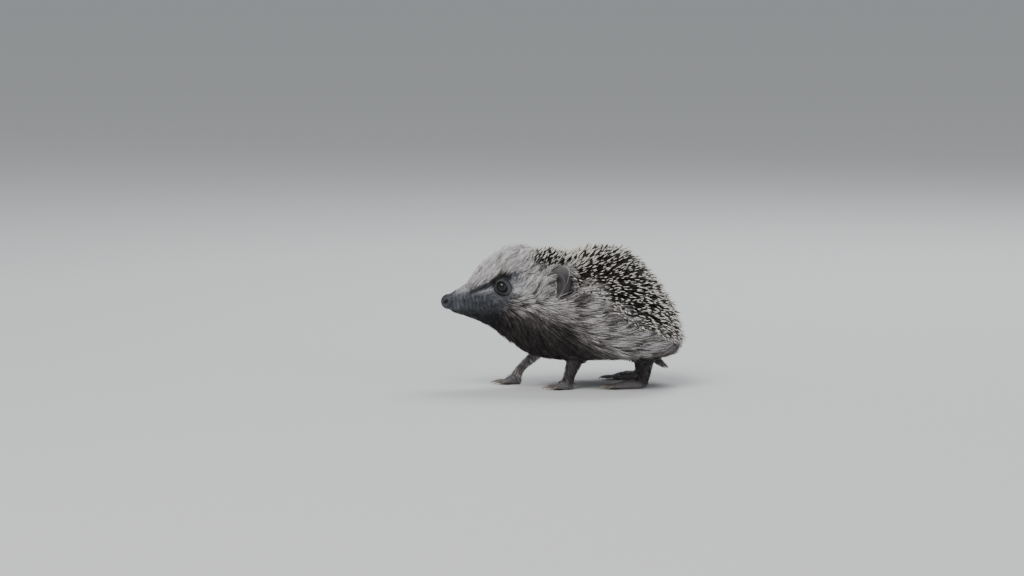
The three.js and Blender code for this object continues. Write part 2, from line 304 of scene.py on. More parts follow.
@dataclass(frozen=True)
class Groom:
    """How the coat lies: its depth, length, way and tone, as functions of a place on the animal.

    All lengths are in millimetres. Each list of pairs reads as distance or height, then value.
    The ear's ovals read as distance and height of the middle, then half width and half height.
    """

    body: BodyMap
    mantle_edge: tuple = ((44, 76), (50, 73), (56, 70), (66, 68), (76, 64), (88, 50.5),
                          (100, 42.5), (122, 34), (140, 30), (146, 27))
    ear_clear: tuple = (67.5, 66.0, 7.8, 10.0)
    mantle_depth: float = 8.5
    hair_reach: float = 6.6
    ear_reach: float = 3.4
    brow_from: float = 14.0
    brow_high: float = 56.6
    brow_rise: float = 0.36
    bottom: tuple = ((5, 45), (16, 42), (32, 33), (45, 23), (60, 17), (100, 16), (146, 17))
    throat_top: tuple = ((10, 45), (24, 46), (34, 46), (46, 45), (56, 43), (64, 41), (72, 35),
                         (82, 24), (96, 16))
    ear_hollow: tuple = (70.6, 63.0, 3.7, 8.0)
    ear_front: tuple = (72.6, 63.5)
    ear_half: tuple = (4.2, 8.2)
    ear_root: tuple = (63.5, 62.0)
    waves: Ripple = field(default_factory=lambda: Ripple(3, 17.0))
    fine_waves: Ripple = field(default_factory=lambda: Ripple(4, 5.0))

    @staticmethod
    def read(pairs: tuple, at: Array) -> Array:
        """Reads a value between the listed pairs."""
        steps, values = zip(*pairs)
        return np.interp(at, steps, values)

    def brow_line(self, along: Array) -> Array:
        """The height of the crease that runs from the muzzle up over the eye."""
        return self.brow_high + self.brow_rise * (along - self.brow_from)

    def mantle(self, places: Array) -> Array:
        """1 where spines grow and 0 where hair does, as it does round the ears."""
        side, along, high = places.T
        edge = self.read(self.mantle_edge, along)
        middle, level, half, tall = self.ear_clear
        round_ear = smooth(0.85, 1.15, np.hypot((along - middle) / half, (high - level) / tall))
        clear = mix(1.0, round_ear, smooth(10, 13, np.abs(side)))
        return smooth(-2.5, 2.5, high - edge) * smooth(40.5, 47.0, along) * clear

    def forehead(self, places: Array) -> Array:
        """1 on the pale hair over the brow, up to the spines."""
        _, along, high = places.T
        over = smooth(-0.4, 1.8, high - self.brow_line(along))
        return over * smooth(14, 18, along) * (1 - smooth(56, 70, along))

    def face(self, places: Array) -> Array:
        """1 on the short fur of the muzzle and round the eyes."""
        _, along, high = places.T
        edges = ((34, 27), (40, 32), (46, 35), (51, 38), (55, 42), (58, 48), (62, 49), (66, 45))
        edge = self.read(edges, high)
        return (1 - smooth(-4.0, 3.0, along - edge)) * (1 - self.forehead(places))

    def under(self, places: Array) -> Array:
        """1 on the underside of the head and body."""
        _, along, high = places.T
        return 1 - smooth(3, 13, high - self.read(self.bottom, along))

    def throat(self, places: Array) -> Array:
        """1 on the throat and chest below the cheeks, painted dark: partly the dark hair there,
        partly painted shade under the head.
        """
        _, along, high = places.T
        over = high - self.read(self.throat_top, along) - 1.5 * self.waves.at(places)
        fade = self.read(((40, 3.0), (54, 9.0), (90, 9.0)), along)
        return (1 - smooth(-3.5, fade, over)) * smooth(12, 24, along) * (1 - smooth(84, 104, along))

    def in_ear(self, places: Array) -> Array:
        """1 on the bare flesh at the bottom of the hollow of each ear."""
        side, along, high = places.T
        middle, level, half, tall = self.ear_hollow
        off = np.hypot((along - middle) / half, (high - level) / tall)
        return (1 - smooth(0.85, 1.15, off)) * smooth(17.0, 18.5, np.abs(side))

    def by_ear(self, places: Array) -> Array:
        """1 where the root of an ear rises out of the side of the head."""
        side, along, high = places.T
        off = np.hypot(along - self.ear_root[0], (high - self.ear_root[1]) / 1.6)
        return mound(off, 6.0) * smooth(13, 17, np.abs(side))

    def depth(self, places: Array) -> Array:
        """How far the tips of the coat stand out from the skin of the head and body."""
        _, along, _ = places.T
        long_coat = self.read(((38, 2.2), (48, 3.6), (64, 4.8), (90, 5.8), (140, 5.2)), along)
        muzzle = self.read(((0, 0.35), (8, 0.6), (25, 1.0), (40, 1.5)), along)
        brow = self.read(((14, 0.6), (20, 1.8), (30, 3.6), (44, 5.4)), along)
        depth = mix(long_coat, 3.4, self.under(places) * smooth(30, 50, along))
        depth = mix(depth, muzzle, self.face(places))
        depth = mix(depth, brow, self.forehead(places))
        depth = mix(depth, 1.5, self.by_ear(places))
        return mix(depth, self.mantle_depth, self.mantle(places))

    def reach(self, places: Array) -> Array:
        """How far the tips of the hair stand out: its depth, capped, and more before the ears."""
        side, along, high = places.T
        off = np.hypot((along - 63.5) / 5.0, (high - 62) / 9.0)
        ahead = mound(off, 1.0) * smooth(13, 17, np.abs(side))
        return np.minimum(self.depth(places), self.hair_reach) + self.ear_reach * ahead

    def length(self, places: Array) -> Array:
        """How long the hair is."""
        _, along, _ = places.T
        long_coat = self.read(((38, 5), (44, 9), (56, 13), (75, 18), (120, 20), (146, 13)), along)
        muzzle = self.read(((0, 0.7), (8, 1.1), (25, 1.7), (40, 2.4)), along)
        brow = self.read(((14, 2.2), (18, 4.5), (26, 8), (40, 11), (54, 13)), along)
        length = mix(long_coat, 11.0, self.under(places) * smooth(30, 50, along))
        length = mix(length, muzzle, self.face(places))
        return mix(length, brow, self.forehead(places))

    def lie(self, places: Array) -> Array:
        """The way the hair of the head and body lies, as directions on the straight animal."""
        _, along, high = places.T
        head = self.read(((30, -62), (40, -50), (46, -26), (51, -7), (54, 10), (58, 26),
                          (64, 35), (70, 41), (80, 45)), high)
        neck = self.read(((16, -58), (24, -42), (32, -22), (42, -5), (52, 4), (60, 9),
                          (70, 12)), high)
        trunk = self.read(((14, -12), (20, -6), (28, -1), (38, 0), (50, -8)), high)
        rump = self.read(((14, 8), (20, 16), (30, 20), (45, 8)), high)
        rise = mix(head, neck, smooth(56, 72, along))
        rise = mix(rise, trunk, smooth(70, 92, along))
        rise = mix(rise, rump, smooth(116, 138, along))
        rise = np.radians(rise + 4 * self.waves.at(places))
        return np.stack([np.zeros_like(rise), np.cos(rise), np.sin(rise)], axis=1)

    def before_ear(self, places: Array, ways: Array) -> Array:
        """How far the hair at each place may lie before it meets the front of an ear."""
        side, along, high = places.T
        middle, half = np.array(self.ear_front), np.array(self.ear_half)
        start = (np.stack([along, high], axis=1) - middle) / half
        way = ways[:, 1:] / half
        a, b = (way**2).sum(1), (start * way).sum(1)
        c = (start**2).sum(1) - 1
        root = b * b - a * c
        reach = np.where((root > 0) & (b < 0), (-b - np.sqrt(np.maximum(root, 0))) / a, 99.0)
        reach = np.where(c < 0, 1.5, np.maximum(reach, 1.5))
        return np.where(np.abs(side) > 14, reach, 99.0)

    def brow_crease(self, places: Array) -> Array:
        """1 in the middle of the crease under the brow, both sides of the head: it is sunk into the
        skin and darkened there with painted shade.
        """
        side, along, high = places.T
        off = high - self.brow_line(along) + 0.9
        ends = smooth(14, 19, along) * (1 - smooth(36, 43, along))
        return mound(off, 1.25) * ends * smooth(2.0, 5.0, np.abs(side))

    def ear_shade(self, places: Array) -> Array:
        """1 where painted shade darkens the fold behind and under each ear."""
        side, along, high = places.T
        off = np.hypot((along - 72.0 - 0.3 * (high - 55)) / 1.1, (high - 55.5) / 1.9)
        return mound(off, 3.2) * smooth(14, 18, np.abs(side))

    def folds(self, places: Array) -> Array:
        """The uneven upright folds down the sides of the muzzle, from -1 to 1."""
        _, along, high = places.T
        stray = 1.5 * self.waves.at(places) + 1.1 * self.fine_waves.at(places)
        return np.sin(along * 2.7 + high * 0.25 + stray) * (0.6 + 0.4 * np.sin(along + high * 0.6))

    def tone(self, places: Array) -> Array:
        """How pale the coat and the skin under it are, from 0, near black, to 1, near white, with
        painted shade in the brow crease, behind the ears and under the head and body.
        """
        _, along, high = places.T
        streak = self.waves.at(places * np.array([1.0, 0.3, 1.0]))
        tone = 0.59 + 0.08 * streak + 0.07 * self.fine_waves.at(places)
        tone = mix(tone, 0.70 + 0.05 * streak, smooth(90, 112, along) * (1 - smooth(38, 48, high)))
        tone = mix(tone, 1.0, mound(np.hypot((along - 83) / 1.3, high - 60), 8.5))
        tone = mix(tone, 0.97, self.forehead(places) * (1 - smooth(48, 64, along) * 0.4))
        tone = mix(tone, 1.0, mound(along - 25, 14) * self.forehead(places))
        # the underside of the rear body darker: its own darker hair and painted shade underneath
        tone = mix(tone, 0.30, self.under(places) * smooth(76, 104, along))
        # throat and chest: dark hair and painted shade under the head
        tone = mix(tone, 0.13, self.throat(places))
        muzzle = 0.24 + 0.09 * self.folds(places) + 0.08 * self.fine_waves.at(places)
        muzzle = mix(muzzle, 0.75, smooth(54.0, 59.0, high) * smooth(6, 10, along))
        muzzle = mix(muzzle, 0.36, smooth(26, 33, along) * smooth(50, 54, high))
        # the lower jaw goes near black below the throat's top: dark fur and painted shade under the
        # head
        muzzle = mix(muzzle, 0.05, 1 - smooth(-2.5, 3.0, high - self.read(self.throat_top, along)))
        tone = mix(tone, muzzle, self.face(places))
        patch = mound(np.hypot((along - 48.2) / 1.15, high - 59.8), 5.4)
        tone = mix(tone, 1.0, np.minimum(patch * 1.4, 1.0))
        # painted shade in the crease under the brow, on coat and skin
        tone = mix(tone, 0.04, self.brow_crease(places) * 0.95)
        # painted shade behind and under each ear
        tone = mix(tone, 0.05, self.ear_shade(places) * 0.85)
        tone = mix(tone, 0.14, self.mantle(places))
        return np.clip(tone, 0.0, 1.0)


# ---- work on pieces


def put_down_all() -> None:
    """Leaves edit mode and deselects everything."""
    if bpy.context.object is not None and bpy.context.object.mode != "OBJECT":
        bpy.ops.object.mode_set(mode="OBJECT")
    bpy.ops.object.select_all(action="DESELECT")


def take_up(piece: Object) -> None:
    """Selects one piece alone and makes it the active one."""
    put_down_all()
    piece.select_set(True)
    bpy.context.view_layer.objects.active = piece


@contextmanager
def editing(piece: Object) -> Iterator[None]:
    """Edit mode on one piece, with all of it selected."""
    take_up(piece)
    bpy.ops.object.mode_set(mode="EDIT")
    bpy.ops.mesh.select_all(action="SELECT")
    yield
    bpy.ops.object.mode_set(mode="OBJECT")


def just_made(name: str) -> Object:
    """The piece that an operator has just added, named."""
    piece = bpy.context.object
    piece.name = name
    piece.data.name = name
    return piece


def apply_modifier(piece: Object, kind: str, **settings: object) -> None:
    """Adds one modifier to a piece and applies it.

    Args:
        piece: the mesh to change.
        kind: the modifier's type.
        settings: the modifier's own values.
    """
    take_up(piece)
    modifier = piece.modifiers.new(kind.lower(), kind)
    for key, value in settings.items():
        setattr(modifier, key, value)
    bpy.ops.object.modifier_apply(modifier=modifier.name)


def copy_node(name: str, grow: float) -> Object:
    """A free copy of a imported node, merged and grown along its normals.

    Args:
        name: the node.
        grow: how far each face moves out, in millimetres; below 0 it moves in.

    Returns:
        The copy, which the frame knows nothing of.
    """
    piece = bpy.data.objects.new(f"{name}_form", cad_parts[name].data.copy())
    bpy.context.scene.collection.objects.link(piece)
    piece.data.materials.clear()
    with editing(piece):
        bpy.ops.mesh.remove_doubles(threshold=MERGE)
    apply_modifier(piece, "DISPLACE", direction="NORMAL", strength=grow * MM, mid_level=0.0)
    return piece


def ringed_cone(name: str, sides: int, base: float, tip: float, rings: tuple) -> Object:
    """A cone one metre tall, standing on the floor and cut into rings.

    Args:
        name: what it is called.
        sides: how many sides it has.
        base: its radius at the floor.
        tip: its radius at the top.
        rings: the heights of the cuts, from 0 to 1.

    Returns:
        The cone.
    """
    put_down_all()
    bpy.ops.mesh.primitive_cone_add(
        vertices=sides, radius1=base, radius2=tip, depth=1, location=(0, 0, 0.5)
    )
    cone = just_made(name)
    bpy.ops.object.transform_apply(location=True)
    with editing(cone):
        for height in rings:
            bpy.ops.mesh.select_all(action="SELECT")
            bpy.ops.mesh.bisect(plane_co=(0, 0, height), plane_no=(0, 0, 1))
    return cone


def join(pieces: list, name: str) -> Object:
    """Joins pieces into the first of them."""
    take_up(pieces[0])
    for piece in pieces:
        piece.select_set(True)
    bpy.ops.object.join()
    return just_made(name)


def read_points(mesh: Mesh) -> Array:
    """The mesh's vertices as rows of x, y, z."""
    points = np.empty(len(mesh.vertices) * 3)
    mesh.vertices.foreach_get("co", points)
    return points.reshape(-1, 3)


def write_points(mesh: Mesh, points: Array) -> None:
    """Moves the mesh's vertices."""
    mesh.vertices.foreach_set("co", points.ravel())
    mesh.update()


def read_normals(mesh: Mesh) -> Array:
    """The mesh's normals at its vertices."""
    normals = np.empty(len(mesh.vertices) * 3)
    mesh.vertex_normals.foreach_get("vector", normals)
    return normals.reshape(-1, 3)


def keep_value(mesh: Mesh, name: str, values: Array) -> None:
    """Stores a number at each vertex for a material to read."""
    mesh.attributes.new(name, "FLOAT", "POINT")
    mesh.attributes[name].data.foreach_set("value", values.astype(np.float32))


def dress(piece: Object, material: Material, slot: str, *nodes: str) -> None:
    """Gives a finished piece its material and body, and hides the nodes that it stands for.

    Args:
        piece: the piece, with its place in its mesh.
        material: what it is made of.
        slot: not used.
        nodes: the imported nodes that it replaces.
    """
    piece.data.materials.clear()
    piece.data.materials.append(material)
    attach(piece, BODY)
    if nodes:
        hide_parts(*nodes)
    triangles = sum(len(face.vertices) - 2 for face in piece.data.polygons)
    log.info("%s: %d triangles", piece.name, triangles)


def corner_shares(points: Array, a: Array, b: Array, c: Array) -> Array:
    """How much of its triangle's corners each point is made of.

    Args:
        points: a point in each triangle.
        a: the triangles' first corners.
        b: their second corners.
        c: their third corners.

    Returns:
        Rows of three shares that add up to 1.
    """
    whole = np.cross(b - a, c - a)
    size = np.maximum((whole**2).sum(axis=1), 1e-24)
    at_a = (np.cross(b - points, c - points) * whole).sum(axis=1) / size
    at_b = (np.cross(c - points, a - points) * whole).sum(axis=1) / size
    return np.clip(np.stack([at_a, at_b, 1 - at_a - at_b], axis=1), 0, 1)


class Lattice:
    """The edges of a mesh, for spreading values out over its surface."""

    def __init__(self, mesh: Mesh) -> None:
        """Reads the edges."""
        ends = np.empty(len(mesh.edges) * 2, np.int32)
        mesh.edges.foreach_get("vertices", ends)
        self.first, self.second = ends.reshape(-1, 2).T
        self.count = len(mesh.vertices)
        meetings = np.bincount(ends, minlength=self.count)
        self.share = 1.0 / np.maximum(meetings, 1)

    def around(self, values: Array) -> Array:
        """The mean of each vertex's neighbours."""
        columns = np.atleast_2d(values.T)
        sums = [
            np.bincount(self.first, column[self.second], self.count)
            + np.bincount(self.second, column[self.first], self.count)
            for column in columns
        ]
        found = np.stack(sums, axis=1) * self.share[:, None]
        return found if values.ndim > 1 else found[:, 0]

    def spread(self, values: Array, times: int, share: float = 0.6) -> Array:
        """Moves each value part of the way to its neighbours' mean, several times."""
        for _ in range(times):
            values = mix(values, self.around(values), share)
        return values


@dataclass
class Roots:
    """Where hairs or spines grow: points and normals, places on the bake map and on the animal."""

    points: Array
    normals: Array
    chart: Array
    places: Array
    kinds: Array

    def of(self, *kinds: Kind) -> Array:
        """Which of them grow on skin of the given kinds."""
        return np.isin(self.kinds, kinds)

    def only(self, chosen: Array) -> "Roots":
        """The chosen ones among them."""
        parts = (self.points, self.normals, self.chart, self.places, self.kinds)
        return Roots(*(part[chosen] for part in parts))

    def __len__(self) -> int:
        """How many there are."""
        return len(self.points)


class Surface:
    """The skin as arrays with a search tree, for rooting strands in it and laying them over it."""

    def __init__(self, mesh: Mesh, kinds: Array, body: BodyMap) -> None:
        """Reads the skin.

        Args:
            mesh: the skin's mesh, with its bake map.
            kinds: what each vertex belongs to, as the values of Kind.
            body: the animal's measure.
        """
        mesh.calc_loop_triangles()
        count = len(mesh.loop_triangles)
        corners = np.empty(count * 3, np.int32)
        loops = np.empty(count * 3, np.int32)
        mesh.loop_triangles.foreach_get("vertices", corners)
        mesh.loop_triangles.foreach_get("loops", loops)
        chart = np.empty(len(mesh.loops) * 2)
        mesh.uv_layers[BAKE_MAP].data.foreach_get("uv", chart)
        self.body = body
        self.points = read_points(mesh)
        self.normals = unit(Lattice(mesh).spread(read_normals(mesh), 4))
        self.corners = corners.reshape(-1, 3)
        self.chart = chart.reshape(-1, 2)[loops].reshape(-1, 3, 2)
        self.kinds = kinds[self.corners[:, 0]]
        a, b, c = (self.points[self.corners[:, i]] for i in range(3))
        self.middles = (a + b + c) / 3
        self.areas = np.linalg.norm(np.cross(b - a, c - a), axis=1) / 2 / MM**2
        self.trees: dict = {}

    def tree(self, kind: int) -> tuple:
        """The search tree that strands of one kind are laid over, and its own triangles."""
        if kind not in self.trees:
            alone = kind in (Kind.BODY, Kind.EAR)
            chosen = self.kinds == kind if alone else self.kinds != Kind.EAR
            kept = np.flatnonzero(chosen)
            faces = self.corners[kept].tolist()
            made = BVHTree.FromPolygons(self.points.tolist(), faces, all_triangles=True)
            self.trees[kind] = (made, kept)
        return self.trees[kind]

    def blend(self, triangles: Array, shares: Array) -> tuple:
        """Points, normals and chart places at given shares of given triangles' corners."""
        corners = self.corners[triangles]
        weights = shares[:, :, None]
        points = (self.points[corners] * weights).sum(axis=1)
        normals = unit((self.normals[corners] * weights).sum(axis=1))
        return points, normals, (self.chart[triangles] * weights).sum(axis=1)

    def scatter(self, per_mm2: Array, random: np.random.Generator) -> Roots:
        """Roots strands at random.

        Args:
            per_mm2: how many grow on a square millimetre of each triangle.
            random: the source of chance.

        Returns:
            The roots.
        """
        wanted = self.areas * per_mm2
        counts = np.floor(wanted + random.random(len(wanted))).astype(int)
        triangles = np.repeat(np.arange(len(wanted)), counts)
        pair = random.random((len(triangles), 2))
        over = pair.sum(axis=1) > 1
        pair[over] = 1 - pair[over]
        shares = np.concatenate([1 - pair.sum(axis=1, keepdims=True), pair], axis=1)
        points, normals, chart = self.blend(triangles, shares)
        places = self.body.straighten(points)
        return Roots(points, normals, chart, places, self.kinds[triangles])

    def nearest(self, points: Array, kind: int) -> tuple:
        """The nearest points of the skin of one kind, and the smooth normals there."""
        tree, kept = self.tree(kind)
        hits = [tree.find_nearest(point) for point in points.tolist()]
        found = np.array([hit[0][:] for hit in hits])
        triangles = kept[np.array([hit[2] for hit in hits])]
        a, b, c = (self.points[self.corners[triangles, i]] for i in range(3))
        _, normals, _ = self.blend(triangles, corner_shares(found, a, b, c))
        return found, normals


# ---- strands


class StrandShape:
    """One tapering strand: a cone cut into rings, modelled once and laid along every curve."""

    def __init__(self, name: str, sides: int, rings: tuple, widths: tuple) -> None:
        """Models the strand standing on the floor, one metre tall.

        Args:
            name: what it is called.
            sides: how many sides it has.
            rings: the heights of the rings between root and tip, from 0 to 1.
            widths: the share of the strand's radius at the root and at each ring.
        """
        cone = ringed_cone(name, sides, 1, 0, rings)
        points = read_points(cone.data)
        self.heights = np.array([0.0, *rings, 1.0])
        self.ring = np.abs(points[:, 2:3] - self.heights[None]).argmin(axis=1)
        self.angle = np.arctan2(points[:, 1], points[:, 0])
        self.width = np.array([*widths, 0.0])[self.ring]
        self.faces = [list(face.vertices) for face in cone.data.polygons]
        self.patch = np.array([pair for face in cone.data.polygons for pair in self.wrap(face)])
        bpy.data.objects.remove(cone)

    def wrap(self, face: MeshPolygon) -> list:
        """Where a face's corners lie on the strand's patch of the map, from -0.5 to 0.5."""
        turns = [self.angle[v] / (2 * math.pi) % 1.0 for v in face.vertices]
        if max(turns) - min(turns) > 0.5:
            turns = [turn + (turn < 0.5) for turn in turns]
        heights = [self.heights[self.ring[v]] for v in face.vertices]
        return [(min(turn, 1.0) - 0.5, high - 0.5) for turn, high in zip(turns, heights)]

    def weave(
        self, name: str, curves: Array, ups: Array, radii: Array,
        flat: float, roots: Roots,
    ) -> Object:
        """Lays a copy of the strand along each curve, all in one mesh.

        Args:
            name: the new piece's name.
            curves: for each strand, a point for each ring, in metres.
            ups: for each of those points, the way out of the skin.
            radii: each strand's radius, in metres.
            flat: how thick a strand is against its width.
            roots: the strands' roots.

        Returns:
            The piece.
        """
        ways = unit(np.gradient(curves, axis=1))
        sides = unit(np.cross(ups, ways))
        tops = np.cross(ways, sides) * flat
        cos, sin = np.cos(self.angle)[None, :, None], np.sin(self.angle)[None, :, None]
        round_it = sides[:, self.ring] * cos + tops[:, self.ring] * sin
        points = curves[:, self.ring] + round_it * (radii[:, None] * self.width)[:, :, None]
        count, per_strand = points.shape[:2]
        corners = np.array([v for face in self.faces for v in face])
        starts = np.cumsum([0] + [len(face) for face in self.faces])
        offsets = np.arange(count)[:, None]
        mesh = bpy.data.meshes.new(name)
        mesh.vertices.add(count * per_strand)
        mesh.loops.add(count * len(corners))
        mesh.polygons.add(count * len(self.faces))
        mesh.vertices.foreach_set("co", points.ravel())
        mesh.loops.foreach_set("vertex_index", (corners + offsets * per_strand).ravel())
        first = starts[:-1] + offsets * len(corners)
        mesh.polygons.foreach_set("loop_start", first.ravel().astype(np.int32))
        mesh.update(calc_edges=True)
        mesh.polygons.foreach_set("use_smooth", np.ones(count * len(self.faces), bool))
        chart = mesh.uv_layers.new(name=BAKE_MAP)
        middle = np.clip(roots.chart, BAKE_PATCH, 1 - BAKE_PATCH)
        spots = middle[:, None, :] + self.patch[None] * BAKE_PATCH
        chart.data.foreach_set("uv", spots.ravel())
        piece = bpy.data.objects.new(name, mesh)
        bpy.context.scene.collection.objects.link(piece)
        keep_value(mesh, "along", np.tile(self.heights[self.ring], count))
        return piece

    def each(self, values: Array) -> Array:
        """One value for each strand, repeated for each of its vertices."""
        return np.repeat(values, len(self.ring))


@dataclass(frozen=True)
class ShortCoat:
    """The coat of a limb, the tail or an ear: strands a square millimetre, sizes and lie."""

    dense: float
    long: float
    deep: float
    way: tuple


SHORT_COATS = {
    Kind.TAIL: ShortCoat(dense=1.9, long=4.6, deep=1.1, way=(0.0, 0.9, -0.5)),
    Kind.EAR: ShortCoat(dense=1.6, long=1.0, deep=0.4, way=(0.0, 0.5, 0.85)),
    Kind.LEG: ShortCoat(dense=1.9, long=3.2, deep=1.1, way=(0.0, 0.25, -1.0)),
    Kind.PAW: ShortCoat(dense=0.9, long=1.5, deep=0.35, way=(0.0, -1.0, -0.35)),
}


@dataclass
class Comb:
    """Lays strands over the skin the way the coat lies."""

    surface: Surface
    groom: Groom
    eyes: list
    random: np.random.Generator
    sink: float = 0.3
    ear_sink: float = 0.06

    def way(self, roots: Roots, places: Array) -> Array:
        """The direction in which the coat lies, on the standing animal."""
        ways = self.groom.lie(places)
        for kind, coat in SHORT_COATS.items():
            ways = np.where(roots.of(kind)[:, None], np.array([coat.way]), ways)
        return self.surface.body.heading(places, ways)

    def round_eyes(self, feet: Array, ways: Array) -> Array:
        """Turns the coat aside where it would run over an eye."""
        for eye in self.eyes:
            off = feet - eye.centre
            off_flat = off - dot(off, eye.ways[0][None]) * eye.ways[0]
            near = mound(eye.away(feet) / MM, 6.0)[:, None]
            ways = ways + unit(off_flat) * near * 1.6
        return ways

    def lay(
        self, roots: Roots, lengths: Array, rises: Array, steps: int, stray: float,
        spring: float,
    ) -> tuple:
        """Walks each strand over the skin from its root.

        Args:
            roots: where the strands grow.
            lengths: their lengths, in millimetres.
            rises: the share of the coat's depth that each one's tip reaches.
            steps: how many steps each takes.
            stray: how far its way may stray from the lie of the coat, in radians.
            spring: how late it rises: 1 rises evenly, and less stands up from the root.

        Returns:
            For each strand its points in metres, and the way out of the skin at each.
        """
        feet, normals = roots.points.copy(), roots.normals.copy()
        sink = np.where(roots.of(Kind.EAR), self.ear_sink, self.sink)[:, None]
        curve, ups = [feet - normals * sink * MM], [normals]
        astray = self.random.normal(0, stray, (len(roots), 1))
        kind = int(roots.kinds[0])
        for step in range(1, steps + 1):
            places = self.surface.body.straighten(feet)
            way = self.round_eyes(feet, self.way(roots, places))
            way = unit(way - normals * dot(way, normals))
            way = way * np.cos(astray) + np.cross(normals, way) * np.sin(astray)
            feet = feet + way * (lengths / steps * MM)[:, None]
            feet, normals = self.surface.nearest(feet, kind)
            share = step / steps
            height = self.depths(roots, feet) * rises * share**spring
            curve.append(feet + normals * (height * MM)[:, None])
            ups.append(normals)
        return np.stack(curve, axis=1), np.stack(ups, axis=1)

    def depths(self, roots: Roots, feet: Array) -> Array:
        """How deep the coat is over each foot, in millimetres."""
        depth = self.groom.reach(self.surface.body.straighten(feet))
        for kind, coat in SHORT_COATS.items():
            depth = np.where(roots.of(kind), coat.deep, depth)
        return depth

    def lock(self, roots: Roots, curves: Array, every: int, hold: float) -> tuple:
        """Gathers strands into locks round a few of their own number.

        Args:
            roots: the strands' roots.
            curves: their points.
            every: how many strands make a lock.
            hold: how tightly the tips of a lock keep together, from 0 to 1.

        Returns:
            The gathered curves, and for each strand the number of its lock.
        """
        guides = np.arange(0, len(roots), every)
        tree = KDTree(len(guides))
        for number, guide in enumerate(guides):
            tree.insert(roots.points[guide], number)
        tree.balance()
        locks = np.array([tree.find(point)[1] for point in roots.points.tolist()])
        share = np.linspace(0, 1, curves.shape[1])[None, :, None]
        own = (roots.points - roots.points[guides[locks]])[:, None, :]
        together = curves[guides[locks]] + own * (1 - 0.85 * share)
        return mix(curves, together, hold * share**1.2), locks

    def wave(
        self, curves: Array, ups: Array, locks: Array, size: float
    ) -> Array:
        """Gives the strands of each lock the same soft wave, and each its own faint one."""
        ways = unit(np.gradient(curves, axis=1))
        sides = unit(np.cross(ups, ways))
        share = np.linspace(0, 1, curves.shape[1])[None, :]
        shift = self.random.uniform(0, 2 * math.pi, locks.max() + 1)[locks][:, None]
        turns = self.random.uniform(0.5, 1.1, locks.max() + 1)[locks][:, None]
        swing = np.sin(2 * math.pi * turns * share + shift) - np.sin(shift)
        own = self.random.normal(0, 0.35, (len(locks), 1)) * share**2
        return curves + sides * ((swing + own) * share * size * MM)[:, :, None]


# ---- finishes


class Recipe:
    """A material's or a group's nodes, written one at a time."""

    def __init__(self, tree: NodeTree) -> None:
        """Starts from the tree that it is given."""
        self.tree = tree

    def add(self, kind: str, inputs: dict, **settings: object) -> Node:
        """Adds a node.

        Args:
            kind: the node's type, without its leading ShaderNode.
            inputs: what each input is set to or linked from, by name or number.
            settings: the node's own choices.

        Returns:
            The node.
        """
        node = self.tree.nodes.new(f"ShaderNode{kind}")
        for key, value in settings.items():
            setattr(node, key, value)
        for key, value in inputs.items():
            if isinstance(value, NodeSocket):
                self.tree.links.new(value, node.inputs[key])
            else:
                node.inputs[key].default_value = value
        return node

    def read(self, name: str) -> NodeSocket:
        """A number kept at the vertices."""
        return self.add("Attribute", {}, attribute_name=name).outputs["Fac"]

    def sum(
        self, kind: str, first: object, second: object, clamp: bool = False
    ) -> NodeSocket:
        """One step of arithmetic, by the operation's own name."""
        node = self.add("Math", {0: first, 1: second}, operation=kind, use_clamp=clamp)
        return node.outputs[0]

    def scaled(self, value: object, times: float, plus: float) -> NodeSocket:
        """A value times one number, plus another."""
        node = self.add("Math", {0: value, 1: times, 2: plus}, operation="MULTIPLY_ADD")
        return node.outputs[0]

    def ease(self, value: object, low: float, high: float) -> NodeSocket:
        """Rises from 0 to 1 between two values, with level ends."""
        inputs = {"Value": value, "From Min": low, "From Max": high}
        node = self.add("MapRange", inputs, interpolation_type="SMOOTHSTEP")
        return node.outputs["Result"]

    def blend(self, share: object, first: object, second: object) -> NodeSocket:
        """A colour between two others."""
        node = self.add("Mix", {0: share, 6: first, 7: second}, data_type="RGBA")
        return node.outputs[2]

    def ramp(self, value: object, stops: tuple) -> NodeSocket:
        """A colour read from a row of stops, each a place from 0 to 1 and a colour."""
        node = self.add("ValToRGB", {0: value})
        marks = node.color_ramp.elements
        while len(marks) < len(stops):
            marks.new(0.5)
        for mark, (place, colour) in zip(marks, stops):
            mark.position = place
            mark.color = colour
        return node.outputs["Color"]

    def group(self, tree: NodeTree, inputs: dict) -> Node:
        """Adds a node group."""
        return self.add("Group", inputs, node_tree=tree)

    def surface(self, colour: object, rough: object, gloss: float = 0.5, **others: object) -> None:
        """Ends a material with its shader.

        Args:
            colour: the base colour.
            rough: the roughness.
            gloss: the specular level.
            others: further sockets, by their names in small letters with underscores.
        """
        inputs = {"Base Color": colour, "Roughness": rough, "Specular IOR Level": gloss}
        for key, value in others.items():
            inputs["IOR" if key == "ior" else key.replace("_", " ").title()] = value
        shader = self.add("BsdfPrincipled", inputs)
        self.add("OutputMaterial", {"Surface": shader.outputs[0]})

    def bump(self, height: object, deep: float, strength: float = 1.0) -> NodeSocket:
        """A normal from a height, with its depth in millimetres."""
        inputs = {"Height": height, "Distance": deep * MM, "Strength": strength}
        return self.add("Bump", inputs).outputs[0]


def new_group(name: str, inputs: tuple, outputs: tuple) -> tuple:
    """An empty node group.

    Args:
        name: its name.
        inputs: the names of the numbers that it takes.
        outputs: the names of the numbers that it puts out.

    Returns:
        The group's tree, its recipe, its inner input sockets and its output node.
    """
    tree = bpy.data.node_groups.new(name, "ShaderNodeTree")
    for word in inputs:
        tree.interface.new_socket(word, in_out="INPUT", socket_type="NodeSocketFloat")
    for word in outputs:
        tree.interface.new_socket(word, in_out="OUTPUT", socket_type="NodeSocketFloat")
    source = tree.nodes.new("NodeGroupInput")
    sink = tree.nodes.new("NodeGroupOutput")
    return tree, Recipe(tree), source.outputs, sink


